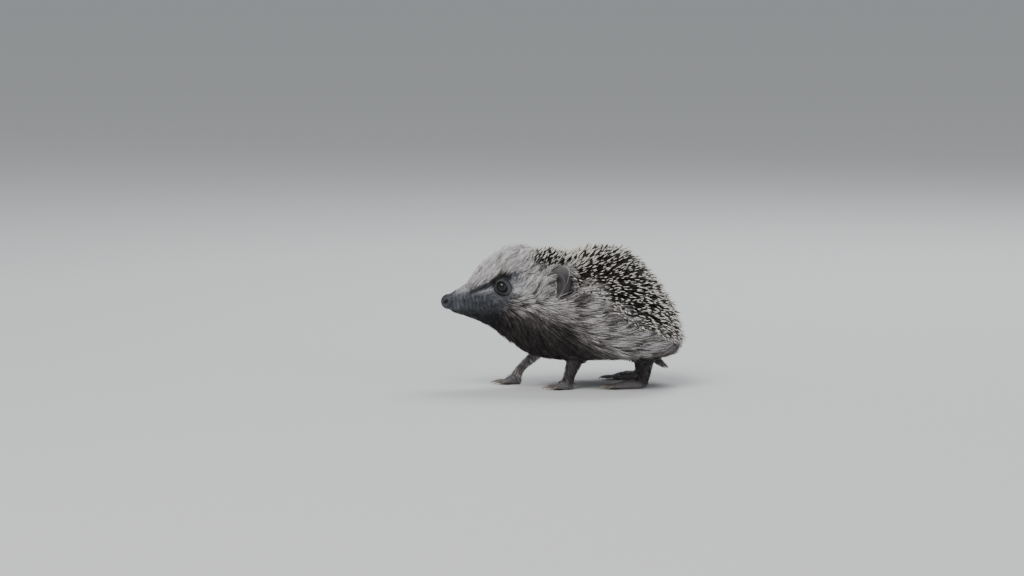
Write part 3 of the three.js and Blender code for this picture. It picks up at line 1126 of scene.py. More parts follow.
def strand_shade_group() -> NodeTree:
    """The tone of a strand along its length, darkened towards the root with painted shade deep in
    the coat, shared by hair and short fur.
    """
    tree, recipe, given, sink = new_group("strand_shade", ("Tone", "Along", "Pick"), ("Shade",))
    root = recipe.ease(given["Along"], -0.15, 0.55)
    own = recipe.scaled(given["Pick"], 0.22, -0.11)
    tone = recipe.sum("ADD", given["Tone"], own, clamp=True)
    # painted shade: down to 0.4 of the tone at the root
    dimmed = recipe.sum("MULTIPLY", tone, recipe.scaled(root, 0.6, 0.4))
    tree.links.new(dimmed, sink.inputs["Shade"])
    return tree


def grain_group() -> NodeTree:
    """Fine grain and soft mottling, shared by skin, nose and claws."""
    tree, recipe, given, sink = new_group("grain", ("Size",), ("Grain", "Mottle"))
    place = recipe.add("TexCoord", {}).outputs["Object"]
    fine = recipe.add("TexNoise", {"Vector": place, "Scale": given["Size"], "Detail": 4.0})
    coarse_size = recipe.sum("MULTIPLY", given["Size"], 0.12)
    coarse = recipe.add("TexNoise", {"Vector": place, "Scale": coarse_size, "Detail": 2.0})
    tree.links.new(fine.outputs[0], sink.inputs["Grain"])
    tree.links.new(coarse.outputs[0], sink.inputs["Mottle"])
    return tree


Colour = tuple


def rgb(red: float, green: float, blue: float) -> Colour:
    """A full colour from its three parts."""
    return (red, green, blue, 1.0)


@dataclass(frozen=True)
class Finish:
    """A named finish; each kind of finish writes its own material's nodes."""

    name: str

    def write(self, recipe: Recipe) -> None:
        """Writes the material's nodes."""

    def material(self) -> Material:
        """The finished material."""
        material = bpy.data.materials.new(self.name)
        material.use_nodes = True
        material.node_tree.nodes.clear()
        self.write(Recipe(material.node_tree))
        return material


@dataclass(frozen=True)
class HairFinish(Finish):
    """Hair from near black at its darkest tone to near white at its palest."""

    shade: NodeTree
    stops: tuple
    rough: float = 0.5
    gloss: float = 0.35

    def write(self, recipe: Recipe) -> None:
        """Writes the material's nodes."""
        given = {"Tone": recipe.read("tone"), "Along": recipe.read("along")}
        given["Pick"] = recipe.read("pick")
        shade = recipe.group(self.shade, given).outputs["Shade"]
        colour = recipe.ramp(shade, self.stops)
        recipe.surface(colour, self.rough, self.gloss)


@dataclass(frozen=True)
class SpineFinish(Finish):
    """A spine: buff at its root, dark over most of its length, with a cream tip."""

    name: str = "spine"
    pale: Colour = rgb(0.82, 0.78, 0.71)
    buff: Colour = rgb(0.15, 0.115, 0.085)
    dark: Colour = rgb(0.020, 0.016, 0.015)
    rough: float = 0.38

    def write(self, recipe: Recipe) -> None:
        """Writes the material's nodes."""
        shift = recipe.scaled(recipe.read("pick"), 0.12, -0.06)
        along = recipe.sum("ADD", recipe.read("along"), shift)
        # tip moves the bands so the pale tip runs further down: on the crown, and on the shoulders
        # as painted highlight
        along = recipe.sum("ADD", along, recipe.read("tip"))
        stops = ((0.0, self.buff), (0.25, self.buff), (0.45, self.dark), (0.80, self.dark),
                 (0.865, self.pale), (1.0, self.pale))
        recipe.surface(recipe.ramp(along, stops), self.rough, 0.45)


@dataclass(frozen=True)
class SkinFinish(Finish):
    """Skin: dark under the coat, partly its own colour and partly painted shade, slate on the
    muzzle, warm grey where it is bare, and near black where painted shade darkens creases and
    hollows.
    """

    grain: NodeTree
    stops: tuple
    slate: tuple
    bare: Colour = rgb(0.105, 0.10, 0.112)
    flush: Colour = rgb(0.20, 0.172, 0.178)
    rough: float = 0.62

    def write(self, recipe: Recipe) -> None:
        """Writes the material's nodes."""
        grain = recipe.group(self.grain, {"Size": 2600.0})
        mottle = recipe.scaled(grain.outputs["Mottle"], 0.16, -0.08)
        tone = recipe.sum("ADD", mottle, recipe.read("tone"), clamp=True)
        coated = recipe.blend(
            recipe.read("slate"), recipe.ramp(tone, self.stops), recipe.ramp(tone, self.slate)
        )
        naked = recipe.blend(grain.outputs["Mottle"], self.bare, self.flush)
        lit = recipe.blend(recipe.read("bare"), coated, naked)
        # painted shade: near black blended in at the brow crease, the ear hollows and round the
        # eyes
        colour = recipe.blend(recipe.read("painted_shade"), lit, rgb(0.012, 0.011, 0.013))
        bump = recipe.bump(grain.outputs["Grain"], 0.16)
        recipe.surface(colour, self.rough, normal=bump)


@dataclass(frozen=True)
class NoseFinish(Finish):
    """The nose pad: dark, damp and finely cobbled."""

    grain: NodeTree
    dark: Colour = rgb(0.016, 0.017, 0.024)
    pale_tops: Colour = rgb(0.085, 0.092, 0.125)
    cobble: float = 0.42

    def write(self, recipe: Recipe) -> None:
        """Writes the material's nodes."""
        place = recipe.add("TexCoord", {}).outputs["Object"]
        inputs = {"Vector": place, "Scale": 1 / (self.cobble * MM)}
        cells = recipe.add("TexVoronoi", inputs, feature="DISTANCE_TO_EDGE").outputs[0]
        cobbles = recipe.ease(cells, 0.0, 0.35)
        grain = recipe.group(self.grain, {"Size": 3000.0})
        # paler on the cobbles' tops and the raised wings, darker between the cobbles and in the
        # nostril pits, as painted shade
        ridge = recipe.sum("ADD", recipe.read("ridge"), -0.1, clamp=True)
        tone = recipe.sum("MULTIPLY", cobbles, ridge)
        colour = recipe.blend(tone, self.dark, self.pale_tops)
        rough = recipe.scaled(grain.outputs["Grain"], 0.25, 0.34)
        bump = recipe.bump(cobbles, 0.07)
        recipe.surface(colour, rough, normal=bump, coat_weight=0.1)


@dataclass(frozen=True)
class EyeFinish(Finish):
    """The eye: a brown so dark that it reads as black, under a wet clear skin."""

    name: str = "eye"
    iris: Colour = rgb(0.010, 0.007, 0.006)
    pupil: Colour = rgb(0.002, 0.002, 0.003)

    def write(self, recipe: Recipe) -> None:
        """Writes the material's nodes."""
        rim = recipe.ease(recipe.read("rim"), 0.35, 0.62)
        colour = recipe.blend(rim, self.pupil, self.iris)
        recipe.surface(colour, 0.04, ior=1.48)


@dataclass(frozen=True)
class ClawFinish(Finish):
    """Horn: dark at the root of the claw and paler at its tip."""

    grain: NodeTree
    dark: Colour = rgb(0.045, 0.036, 0.030)
    pale: Colour = rgb(0.36, 0.30, 0.23)

    def write(self, recipe: Recipe) -> None:
        """Writes the material's nodes."""
        grain = recipe.group(self.grain, {"Size": 1800.0})
        mottle = recipe.scaled(grain.outputs["Mottle"], 0.3, -0.15)
        share = recipe.sum("ADD", mottle, recipe.read("along"), clamp=True)
        colour = recipe.blend(share, self.dark, self.pale)
        bump = recipe.bump(grain.outputs["Grain"], 0.05)
        recipe.surface(colour, 0.35, normal=bump)


@dataclass(frozen=True)
class FloorFinish(Finish):
    """The studio floor: plain and pale."""

    name: str = "studio_floor"
    colour: Colour = rgb(0.62, 0.62, 0.61)

    def write(self, recipe: Recipe) -> None:
        """Writes the material's nodes."""
        recipe.surface(self.colour, 0.85)


# ---- paws and claws


@dataclass(frozen=True)
class Paw:
    """A paw's flesh and claws, in millimetres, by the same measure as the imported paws."""

    name: str
    side: float
    along: float
    half: float
    length: float
    tall: float
    toe: float
    reach: float
    fan: float
    claw: float
    body: BodyMap
    toes: int = 5

    @property
    def middle(self) -> float:
        """Where the paw's middle is along Y; a paw stands straight, whatever the neck does."""
        return self.body.start + self.along - self.body.turn_from

    def toe_line(self, index: int) -> tuple:
        """Where a toe starts and which way it points, from the inner toe to the outer."""
        out = math.copysign(1.0, self.side)
        spread = index / (self.toes - 1) * 2 - 1
        angle = out * spread * self.fan * 0.5
        way = np.array([math.sin(angle), -math.cos(angle), 0.0])
        x = self.side + out * spread * (self.half - self.toe)
        y = self.middle - self.length / 2 + 1.6 + 1.5 * spread**2
        root = np.array([x, y, self.toe * 0.92])
        return root, way, self.reach * (1 - 0.26 * spread**2)

    def lump(self, centre: Array, half: tuple, turn: float = 0.0) -> Object:
        """One egg-shaped lump of flesh."""
        put_down_all()
        place = Vector(centre) * MM
        bpy.ops.mesh.primitive_uv_sphere_add(
            segments=20, ring_count=12, radius=MM, location=place, rotation=(0, 0, turn),
            scale=half,
        )
        bpy.ops.object.transform_apply(location=True, rotation=True, scale=True)
        return just_made("paw_lump")

    def flesh(self) -> list:
        """The palm, the heel, the toes and the pads under them, as loose lumps."""
        centre = np.array([self.side, self.middle, self.tall * 0.42])
        lumps = [self.lump(centre, (self.half * 0.96, self.length / 2, self.tall * 0.62))]
        for index in range(self.toes):
            root, way, reach = self.toe_line(index)
            turn = math.atan2(way[0], -way[1])
            for share, fat in ((0.1, 1.0), (0.5, 0.82), (0.92, 0.84)):
                knuckle = root + way * reach * share
                knuckle[2] += 0.25 * math.sin(math.pi * share)
                half = (self.toe * fat, reach * 0.36, self.toe * fat)
                lumps.append(self.lump(knuckle, half, turn))
        for across, back in ((-0.42, -0.28), (0.42, -0.28), (0.0, -0.02)):
            pad = centre + np.array([across * self.half * 1.2, back * self.length, 0.0])
            pad[2] = 0.9
            lumps.append(self.lump(pad, (self.half * 0.36, self.half * 0.42, 1.15)))
        return lumps

    def clefts(self, points: Array) -> Array:
        """How deep the clefts between the toes are at each point, in millimetres."""
        across, along = [], []
        for index in range(self.toes):
            root, way, reach = self.toe_line(index)
            off = points[:, :2] / MM - root[:2]
            run = off @ way[:2]
            aside = np.abs(off[:, 0] * way[1] - off[:, 1] * way[0])
            across.append(np.hypot(aside, np.maximum(run - reach * 0.95, 0)))
            along.append(run / reach)
        across, along = np.array(across), np.array(along)
        pair = np.sort(across, axis=0)[:2]
        run = np.take_along_axis(along, across.argmin(axis=0)[None], axis=0)[0]
        near = smooth(-0.15, 0.35, run) * (pair[0] < 4.0)
        return mound(pair[1] - pair[0], 1.7) * near * (0.55 + 0.75 * np.clip(run, 0, 1.2))

    def claw_points(self, index: int, points: Array) -> Array:
        """A claw's points from the modelled one, whose length is 1 and lies along Z."""
        root, way, reach = self.toe_line(index)
        side = np.array([-way[1], way[0], 0.0])
        start = root + way * (reach - self.toe * 0.5) + np.array([0, 0, self.toe * 0.1])
        share = points[:, 2:3]
        drop = self.toe * (0.7 * share - 1.25 * share**2)
        long = self.claw + self.toe * 0.7
        placed = start + way * share * long + side * points[:, :1] * self.toe
        placed = placed + np.array([0.0, 0.0, 1.0]) * (points[:, 1:2] * self.toe * 1.25 + drop)
        return placed * MM


def all_paws(body: BodyMap) -> list:
    """The four paws where they stand."""
    fore = {"half": 5.4, "length": 11.0, "tall": 5.2, "toe": 1.7, "reach": 5.6, "fan": 0.95}
    hind = {"half": 5.2, "length": 21.0, "tall": 5.0, "toe": 1.7, "reach": 6.6, "fan": 0.5}
    return [
        Paw("forepaw_left", 19, 69, claw=4.6, body=body, **fore),
        Paw("forepaw_right", -18, 47, claw=4.6, body=body, **fore),
        Paw("hindpaw_left", 25, 108, claw=3.8, body=body, **hind),
        Paw("hindpaw_right", -25, 122, claw=3.8, body=body, **hind),
    ]


@dataclass
class Claws:
    """All the claws: one is modelled, and copied to every toe."""

    paws: list
    finish: ClawFinish
    base: float = 0.36
    tip: float = 0.05
    belly: float = 0.12
    rings: tuple = (0.2, 0.4, 0.6, 0.78, 0.9)

    def build(self) -> Object:
        """Models one claw and places its copies.

        Returns:
            The finished piece.
        """
        pattern = ringed_cone("claw", 10, self.base, self.tip, self.rings)
        shape = read_points(pattern.data)
        shape[:, :2] *= 1 + self.belly * np.sin(np.pi * shape[:, 2:3])
        copies = []
        for paw in self.paws:
            for index in range(paw.toes):
                copy = pattern.copy()
                copy.data = pattern.data.copy()
                bpy.context.scene.collection.objects.link(copy)
                write_points(copy.data, paw.claw_points(index, shape))
                keep_value(copy.data, "along", shape[:, 2])
                copies.append(copy)
        bpy.data.objects.remove(pattern)
        claws = join(copies, "claws")
        with editing(claws):
            bpy.ops.mesh.normals_make_consistent(inside=False)
        bpy.ops.object.shade_smooth_by_angle(angle=math.radians(50))
        dress(claws, self.finish.material(), "paw")
        return claws


# ---- skin


@dataclass(frozen=True)
class Ear:
    """An ear's flesh, in millimetres: a thin cupped blade with a rolled rim, and its root."""

    side: Side
    body: BodyMap
    out: float = 26.6
    along: float = 69.4
    high: float = 64.9
    half: float = 6.7
    tall: float = 10.6
    thin: float = 0.5
    stout: float = 1.35
    cup: float = 3.8
    roll: float = 0.9
    taper: float = 0.24
    turn: float = 0.82
    lean: float = 0.3
    root: tuple = (21.0, 66.0, 60.5)
    root_half: tuple = (5.5, 4.4, 8.0)

    def shape(self, ball: Array, thick: float) -> Array:
        """The blade's points, facing forwards and outwards.

        Args:
            ball: points of a ball of radius 1: across, through and up the ear.
            thick: half the blade's thickness.

        Returns:
            The points, in metres.
        """
        u, w, v = ball.T
        rim = np.hypot(u, v)
        bow = self.cup * (0.5 - u * u - 0.35 * v * v) - self.roll * smooth(0.7, 1.0, rim)
        x = u * self.half * (1 + self.taper * v)
        y = np.sign(w) * np.abs(w) ** 0.4 * thick + bow
        z = v * self.tall
        cos, sin = math.cos(self.lean), math.sin(self.lean)
        y, z = y * cos + z * sin, z * cos - y * sin
        turn = self.side * self.turn
        cos, sin = math.cos(turn), math.sin(turn)
        x, y = x * cos - y * sin, x * sin + y * cos
        places = np.stack([x + self.side * self.out, y + self.along, z + self.high], axis=1)
        return self.body.stand(places)

    @property
    def facing(self) -> Array:
        """The way that its hollow faces."""
        way = np.array([[self.side * math.sin(self.turn), -math.cos(self.turn), 0.0]])
        return self.body.heading(np.array([[self.out, self.along, self.high]]), way)[0]

    def ball(self, name: str) -> tuple:
        """A ball to be shaped, and its points."""
        put_down_all()
        bpy.ops.mesh.primitive_uv_sphere_add(segments=48, ring_count=36, radius=1)
        made = just_made(name)
        return made, unit(read_points(made.data))

    def blade(self) -> Object:
        """The blade as it is cast into the skin, stouter than it ends up."""
        made, points = self.ball("ear_blade")
        write_points(made.data, self.shape(points, self.stout))
        return made

    def foot(self) -> Object:
        """The fleshy root, sunk in the side of the head."""
        made, points = self.ball("ear_root")
        places = np.array(self.root) + points * np.array(self.root_half)
        places[:, 0] *= self.side
        write_points(made.data, self.body.stand(places))
        return made

    def sheet(self) -> tuple:
        """The blade's middle sheet: its points on the ball, and its triangles."""
        rings, spokes = 14, 48
        radii = np.repeat(np.arange(rings + 1) / rings, spokes)
        turns = np.tile(np.arange(spokes) / spokes * 2 * math.pi, rings + 1)
        across, up = radii * np.cos(turns), radii * np.sin(turns)
        ball = np.stack([across, np.zeros_like(radii), up], axis=1)
        ring, spoke = np.divmod(np.arange(rings * spokes), spokes)
        near = ring * spokes + spoke
        beside = ring * spokes + (spoke + 1) % spokes
        halves = [[near, beside, beside + spokes], [near, beside + spokes, near + spokes]]
        return ball, np.concatenate([np.stack(half, axis=1) for half in halves])

    def fit(self, points: Array, mask: Array) -> tuple:
        """Thins the cast blade by drawing it in towards its middle sheet.

        Args:
            points: the skin's points, in metres.
            mask: how far each belongs to an ear.

        Returns:
            The skin's new points, each one's place on the ear's ball, and how far it is fitted.
        """
        ball, corners = self.sheet()
        middle = self.shape(ball, 0.0)
        tree = BVHTree.FromPolygons(middle.tolist(), corners.tolist(), all_triangles=True)
        marks, share = np.zeros_like(points), np.zeros(len(points))
        near = np.flatnonzero((mask > 0.05) & (points[:, 0] * self.side > 0))
        hits = [tree.find_nearest(point) for point in points[near].tolist()]
        found = np.array([hit[0][:] for hit in hits])
        chosen = corners[[hit[2] for hit in hits]]
        a, b, c = (middle[chosen[:, i]] for i in range(3))
        parts = corner_shares(found, a, b, c)[:, :, None]
        marks[near] = (ball[chosen] * parts).sum(axis=1)
        off = points[near] - found
        marks[near, 1] = -np.clip(off @ self.facing / MM, -1, 1)
        apart = np.linalg.norm(off, axis=1) / MM
        share[near] = (1 - smooth(2.6, 4.0, apart)) * smooth(0.1, 0.45, mask[near])
        fitted = points.copy()
        fitted[near] = found + off * self.thin / self.stout
        return mix(points, fitted, share[:, None]), marks, share


@dataclass
class Skin:
    """One skin over all the flesh, let down by the coat's depth, with the face worked into it."""

    body: BodyMap
    groom: Groom
    eyes: list
    paws: list
    finish: SkinFinish
    voxel: float = 1.0
    bridge: float = 0.26
    ear_depth: float = 0.2
    limb_depth: float = 0.9
    paw_depth: float = 0.1
    ear_evening: int = 26
    lid_reach: float = 6.2

    def forms(self) -> list:
        """Copies of the nodes of flesh, grown over the gaps between them, and new ears and paws.

        Returns:
            Pairs of what each form belongs to and the form.
        """
        made = [(Kind.BODY, copy_node(name, self.bridge)) for name in CORE]
        made += [(Kind.BODY, copy_node(f"eye_{eye.side.word}", 0.35)) for eye in self.eyes]
        made.append((Kind.BODY, copy_node("nose", -1.1)))
        made += [(Kind.LEG, copy_node(name, self.bridge)) for name in LEGS]
        made.append((Kind.TAIL, copy_node("tail", self.bridge)))
        for side in Side:
            ear = Ear(side, self.body)
            made += [(Kind.EAR, ear.blade()), (Kind.BODY, ear.foot())]
        for paw in self.paws:
            made += [(Kind.PAW, lump) for lump in paw.flesh()]
        return made

    def cast(self) -> Object:
        """Joins the forms into one closed skin that knows what each stretch of it belongs to."""
        corners, faces, kinds = [], [], []
        forms = self.forms()
        for kind, form in forms:
            mesh, first = form.data, len(corners)
            corners += read_points(mesh).tolist()
            mesh.calc_loop_triangles()
            faces += [[first + v for v in tri.vertices] for tri in mesh.loop_triangles]
            kinds += [kind] * len(mesh.loop_triangles)
        tree = BVHTree.FromPolygons(corners, faces, all_triangles=True)
        skin = join([form for _, form in forms], "skin")
        apply_modifier(skin, "REMESH", mode="VOXEL", voxel_size=self.voxel * MM)
        points = read_points(skin.data).tolist()
        found = np.array([kinds[tree.find_nearest(point)[2]] for point in points])
        lattice = Lattice(skin.data)
        for kind in Kind:
            keep_value(skin.data, kind.name, lattice.spread((found == kind) * 1.0, 3))
        return skin

    def masks(self, mesh: Mesh) -> list:
        """How far each vertex belongs to each kind of stretch, in the order of Kind."""
        found = []
        for kind in Kind:
            mask = np.empty(len(mesh.vertices))
            mesh.attributes[kind.name].data.foreach_get("value", mask)
            found.append(mask)
        return found

    def let_down(self, skin: Object) -> None:
        """Sinks the skin by the depth of the coat, a little at a time."""
        mesh = skin.data
        lattice = Lattice(mesh)
        points = read_points(mesh)
        body, tail, ear, leg, paw = (lattice.spread(mask, 2) for mask in self.masks(mesh))
        tip = 0.85 * (1 - smooth(9, 20, self.body.straighten(points)[:, 1]))
        firm = np.clip(paw + ear + tip, 0, 1)[:, None]
        points = mix(lattice.spread(points, 4), lattice.spread(points, 1), firm)
        depth = self.groom.depth(self.body.straighten(points))
        depth = depth * body + self.limb_depth * (tail + leg) + self.paw_depth * paw
        depth = lattice.spread(depth + self.ear_depth * ear, 2) + self.bridge * (1 - firm[:, 0])
        steps = 6
        for _ in range(steps):
            write_points(mesh, points)
            points = points - read_normals(mesh) * (depth * MM / steps)[:, None]
            points = mix(lattice.spread(points, 1), points, firm)
        write_points(mesh, points)

    def divide(self, skin: Object, chosen: Array) -> None:
        """Splits the faces round the chosen vertices in four and rounds them off."""
        mesh = skin.data
        picked = [bool(chosen[list(face.vertices)].all()) for face in mesh.polygons]
        take_up(skin)
        bpy.ops.object.mode_set(mode="EDIT")
        bpy.ops.mesh.select_mode(type="FACE")
        bpy.ops.mesh.select_all(action="DESELECT")
        bpy.ops.object.mode_set(mode="OBJECT")
        mesh.polygons.foreach_set("select", picked)
        bpy.ops.object.mode_set(mode="EDIT")
        bpy.ops.mesh.subdivide(number_cuts=1)
        bpy.ops.object.mode_set(mode="OBJECT")
        points = read_points(mesh)
        rounded = Lattice(mesh).spread(points, 2)
        write_points(mesh, np.where(self.fine(mesh)[:, None], rounded, points))

    def on_lids(self, points: Array) -> Array:
        """True round the edge of either eye's lids."""
        found = np.zeros(len(points), bool)
        for eye in self.eyes:
            opening = eye.opening(points)
            near = eye.away(points) < 6 * MM
            found |= near & (opening > 0.7) & (opening < 1.35)
        return found

    def fine(self, mesh: Mesh) -> Array:
        """True where the skin needs fine faces: the face, the ears and the feet."""
        _, along, high = self.body.straighten(read_points(mesh)).T
        _, _, ear, _, paw = self.masks(mesh)
        return (along < 45) & (high > 34) | (ear + paw > 0.35)

    def sculpt_face(self, points: Array, normals: Array) -> Array:
        """Works the brow, the mouth and the muzzle's folds into the skin."""
        places = self.body.straighten(points)
        side, along, high = places.T
        sink = 0.75 * self.groom.brow_crease(places)
        mouth = mound(high - 45.4 - 0.052 * (along - 7.5), 0.42)
        ends = smooth(6.5, 9.0, along) * (1 - smooth(31.5, 33.5, along))
        sink = sink + 0.55 * mouth * ends
        folds = self.groom.folds(places) * smooth(8, 11, along) * (1 - smooth(26, 31, along))
        low = (1 - smooth(55, 58, high)) * smooth(45, 47.5, high) * smooth(2.5, 4.5, np.abs(side))
        sink = sink - 0.16 * folds * low
        pads = mound(np.hypot((along - 14) / 1.6, (high - 48.6)), 2.6) * smooth(2, 4, np.abs(side))
        sink = sink - 0.5 * pads
        head = along < 46
        return points - normals * (sink * head * MM)[:, None]

    def sculpt_lids(self, points: Array, eye: EyePlace) -> Array:
        """Opens the skin over an eyeball and lays the lids on it."""
        opening = eye.opening(points)
        near = (np.abs(opening - 1) < 0.04) & (eye.across(points)[:, 0] > 0)
        flat = eye.across(points) * np.array([0.0, 1.0, 1.0])
        points = points + (flat * (near / opening - near)[:, None]) @ eye.ways
        opening = np.where(near, 1.001, opening)
        local = eye.across(points)
        out, apart = local[:, 0], np.hypot(local[:, 1], local[:, 2])
        lid = eye.radius + eye.lid * MM
        shell = np.sqrt(np.maximum(lid**2 - apart**2, 0.0))
        floor = np.sqrt(np.maximum((eye.radius - 0.6 * MM) ** 2 - apart**2, 0.0))
        soft = 0.5 * MM
        over = 0.5 * (out + shell + np.sqrt((out - shell) ** 2 + soft**2))
        groove = 0.6 * MM * mound(opening - 1.5, 0.14)
        roll = 0.22 * MM * mound(opening - 1.13, 0.12)
        target = np.where(opening > 1.0, over - groove + roll, floor)
        edge = smooth(0.9, 1.0, opening)
        target = mix(floor, target, edge)
        share = (1 - smooth(5.0, 6.4, apart / MM)) * (out > -2.0 * MM)
        return points + eye.ways[0] * ((target - out) * share)[:, None]

    def paint(self, skin: Object, points: Array, ears: list) -> None:
        """Keeps the markings at the skin's vertices, with the painted shade of the brow crease, the
        ear hollows and the rings round the eyes.

        Args:
            skin: the skin.
            points: its points.
            ears: for each ear, each point's place on the ear's ball and how far it is fitted.
        """
        places = self.body.straighten(points)
        _, tail, _, leg, paw = self.masks(skin.data)
        face = self.groom.face(places)
        # the skin under the long coat is darker than the coat: partly its dark undercoat, partly
        # painted shade deep in the coat
        tone = self.groom.tone(places) * mix(0.45, 1.0, face)
        pale_leg = (points[:, 0] < 0) & (points[:, 1] < 0)
        tone = mix(tone, np.where(pale_leg, 0.4, 0.16), np.clip(leg + tail, 0, 1))
        # painted shade collects here: the brow crease first, then the ear hollows and the rings
        # round the eyes
        painted_shade = self.groom.brow_crease(places) * 0.55
        bare = paw * 0.65
        # the bottom of each ear's hollow is painted darker, with painted shade
        hollow = self.groom.in_ear(places)
        tone, bare = mix(tone, 0.22, hollow), mix(bare, 0.4, hollow)
        painted_shade = mix(painted_shade, 0.5, hollow)
        for side, (ball, share) in zip(Side, ears):
            across, through, up = ball.T
            across = across * side
            rim = np.hypot(across, up)
            # painted shade fills the blade's hollow; only the rear rim is painted pale, and the
            # dark front rim is painted shade
            front = smooth(-0.1, 0.1, -through)
            hollow = front * (1 - smooth(0.25, 0.85, rim + 0.25 * up - 0.2 * across))
            edge = smooth(0.66, 0.96, rim) * smooth(-0.5, 0.3, across)
            tone = mix(tone, mix(0.17, 0.66, edge), share)
            bare = mix(bare, mix(0.6, 0.25, edge), share)
            painted_shade = mix(painted_shade, 0.75 * hollow, share)
        for eye in self.eyes:
            opening = eye.opening(points)
            front = eye.across(points)[:, 0] > -1.5 * MM
            ring = smooth(1.0, 1.1, opening) * (1 - smooth(1.27, 1.38, opening)) * front
            # painted shade in the groove round the lids and at the lids' inner edge
            dark = mound(opening - 1.53, 0.18) * front
            bare = np.maximum(bare * (1 - ring), ring * 0.22)
            tone = mix(tone, 0.17, ring)
            painted_shade = np.maximum(painted_shade, dark * 0.95)
            painted_shade = np.maximum(painted_shade, (1 - smooth(0.98, 1.06, opening)) * front)
        keep_value(skin.data, "tone", tone)
        keep_value(skin.data, "bare", bare)
        keep_value(skin.data, "slate", face)
        keep_value(skin.data, "painted_shade", np.clip(painted_shade, 0, 1))

    def build(self) -> tuple:
        """Makes the skin.

        Returns:
            The finished piece, and the surface that the coat grows on.
        """
        skin = self.cast()
        self.let_down(skin)
        self.divide(skin, self.fine(skin.data))
        points = read_points(skin.data)
        near_eye = np.zeros(len(points), bool)
        for eye in self.eyes:
            near_eye |= eye.away(points) < self.lid_reach * MM
        self.divide(skin, near_eye)
        self.divide(skin, self.on_lids(read_points(skin.data)))
        points, normals = read_points(skin.data), read_normals(skin.data)
        points = self.sculpt_face(points, normals)
        feet = self.masks(skin.data)[Kind.PAW] > 0.3
        for paw in self.paws:
            points = points - normals * (paw.clefts(points) * feet * MM)[:, None]
        mask = self.masks(skin.data)[Kind.EAR]
        ears = []
        for side in Side:
            points, ball, share = Ear(side, self.body).fit(points, mask)
            ears.append((ball, share))
        lattice = Lattice(skin.data)
        about = smooth(0.02, 0.16, lattice.spread(mask, 10))
        points = mix(points, lattice.spread(points, self.ear_evening), about[:, None])
        for eye in self.eyes:
            points = self.sculpt_lids(points, eye)
        points[:, 2] = np.maximum(points[:, 2], 0.0)
        write_points(skin.data, points)
        self.paint(skin, points, ears)
        kinds = np.argmax(self.masks(skin.data), axis=0)
        for kind in Kind:
            skin.data.attributes.remove(skin.data.attributes[kind.name])
        with editing(skin):
            skin.data.uv_layers.new(name=BAKE_MAP)
            bpy.ops.uv.smart_project(angle_limit=math.radians(66), island_margin=0.004)
        bpy.ops.object.shade_smooth()
        dress(skin, self.finish.material(), "muzzle", *CORE, "tail", *EARS, *LEGS, *PAWS)
        return skin, Surface(skin.data, kinds, self.body)


# ---- eyes and nose


@dataclass
class Eyeball:
    """One eyeball with a bulging clear front."""

    place: EyePlace
    material: Material
    bulge: float = 0.05

    def build(self) -> Object:
        """Models the eyeball looking the way that it does."""
        put_down_all()
        bpy.ops.mesh.primitive_uv_sphere_add(segments=48, ring_count=32, radius=1)
        name = f"eyeball_{self.place.side.word}"
        ball = just_made(name)
        points = read_points(ball.data)
        front = points[:, 2]
        points = points * (1 + self.bulge * smooth(0.6, 1.0, front))[:, None]
        look, _, up = self.place.ways
        across = np.cross(up, look)
        turned = points[:, 2:3] * look + points[:, :1] * across + points[:, 1:2] * up
        write_points(ball.data, self.place.centre + turned * self.place.radius)
        keep_value(ball.data, "rim", np.degrees(np.arccos(np.clip(front, -1, 1))) / 90)
        with editing(ball):
            bpy.ops.mesh.normals_make_consistent(inside=False)
        bpy.ops.object.shade_smooth()
        dress(ball, self.material, "eye", f"eye_{self.place.side.word}")
        return ball


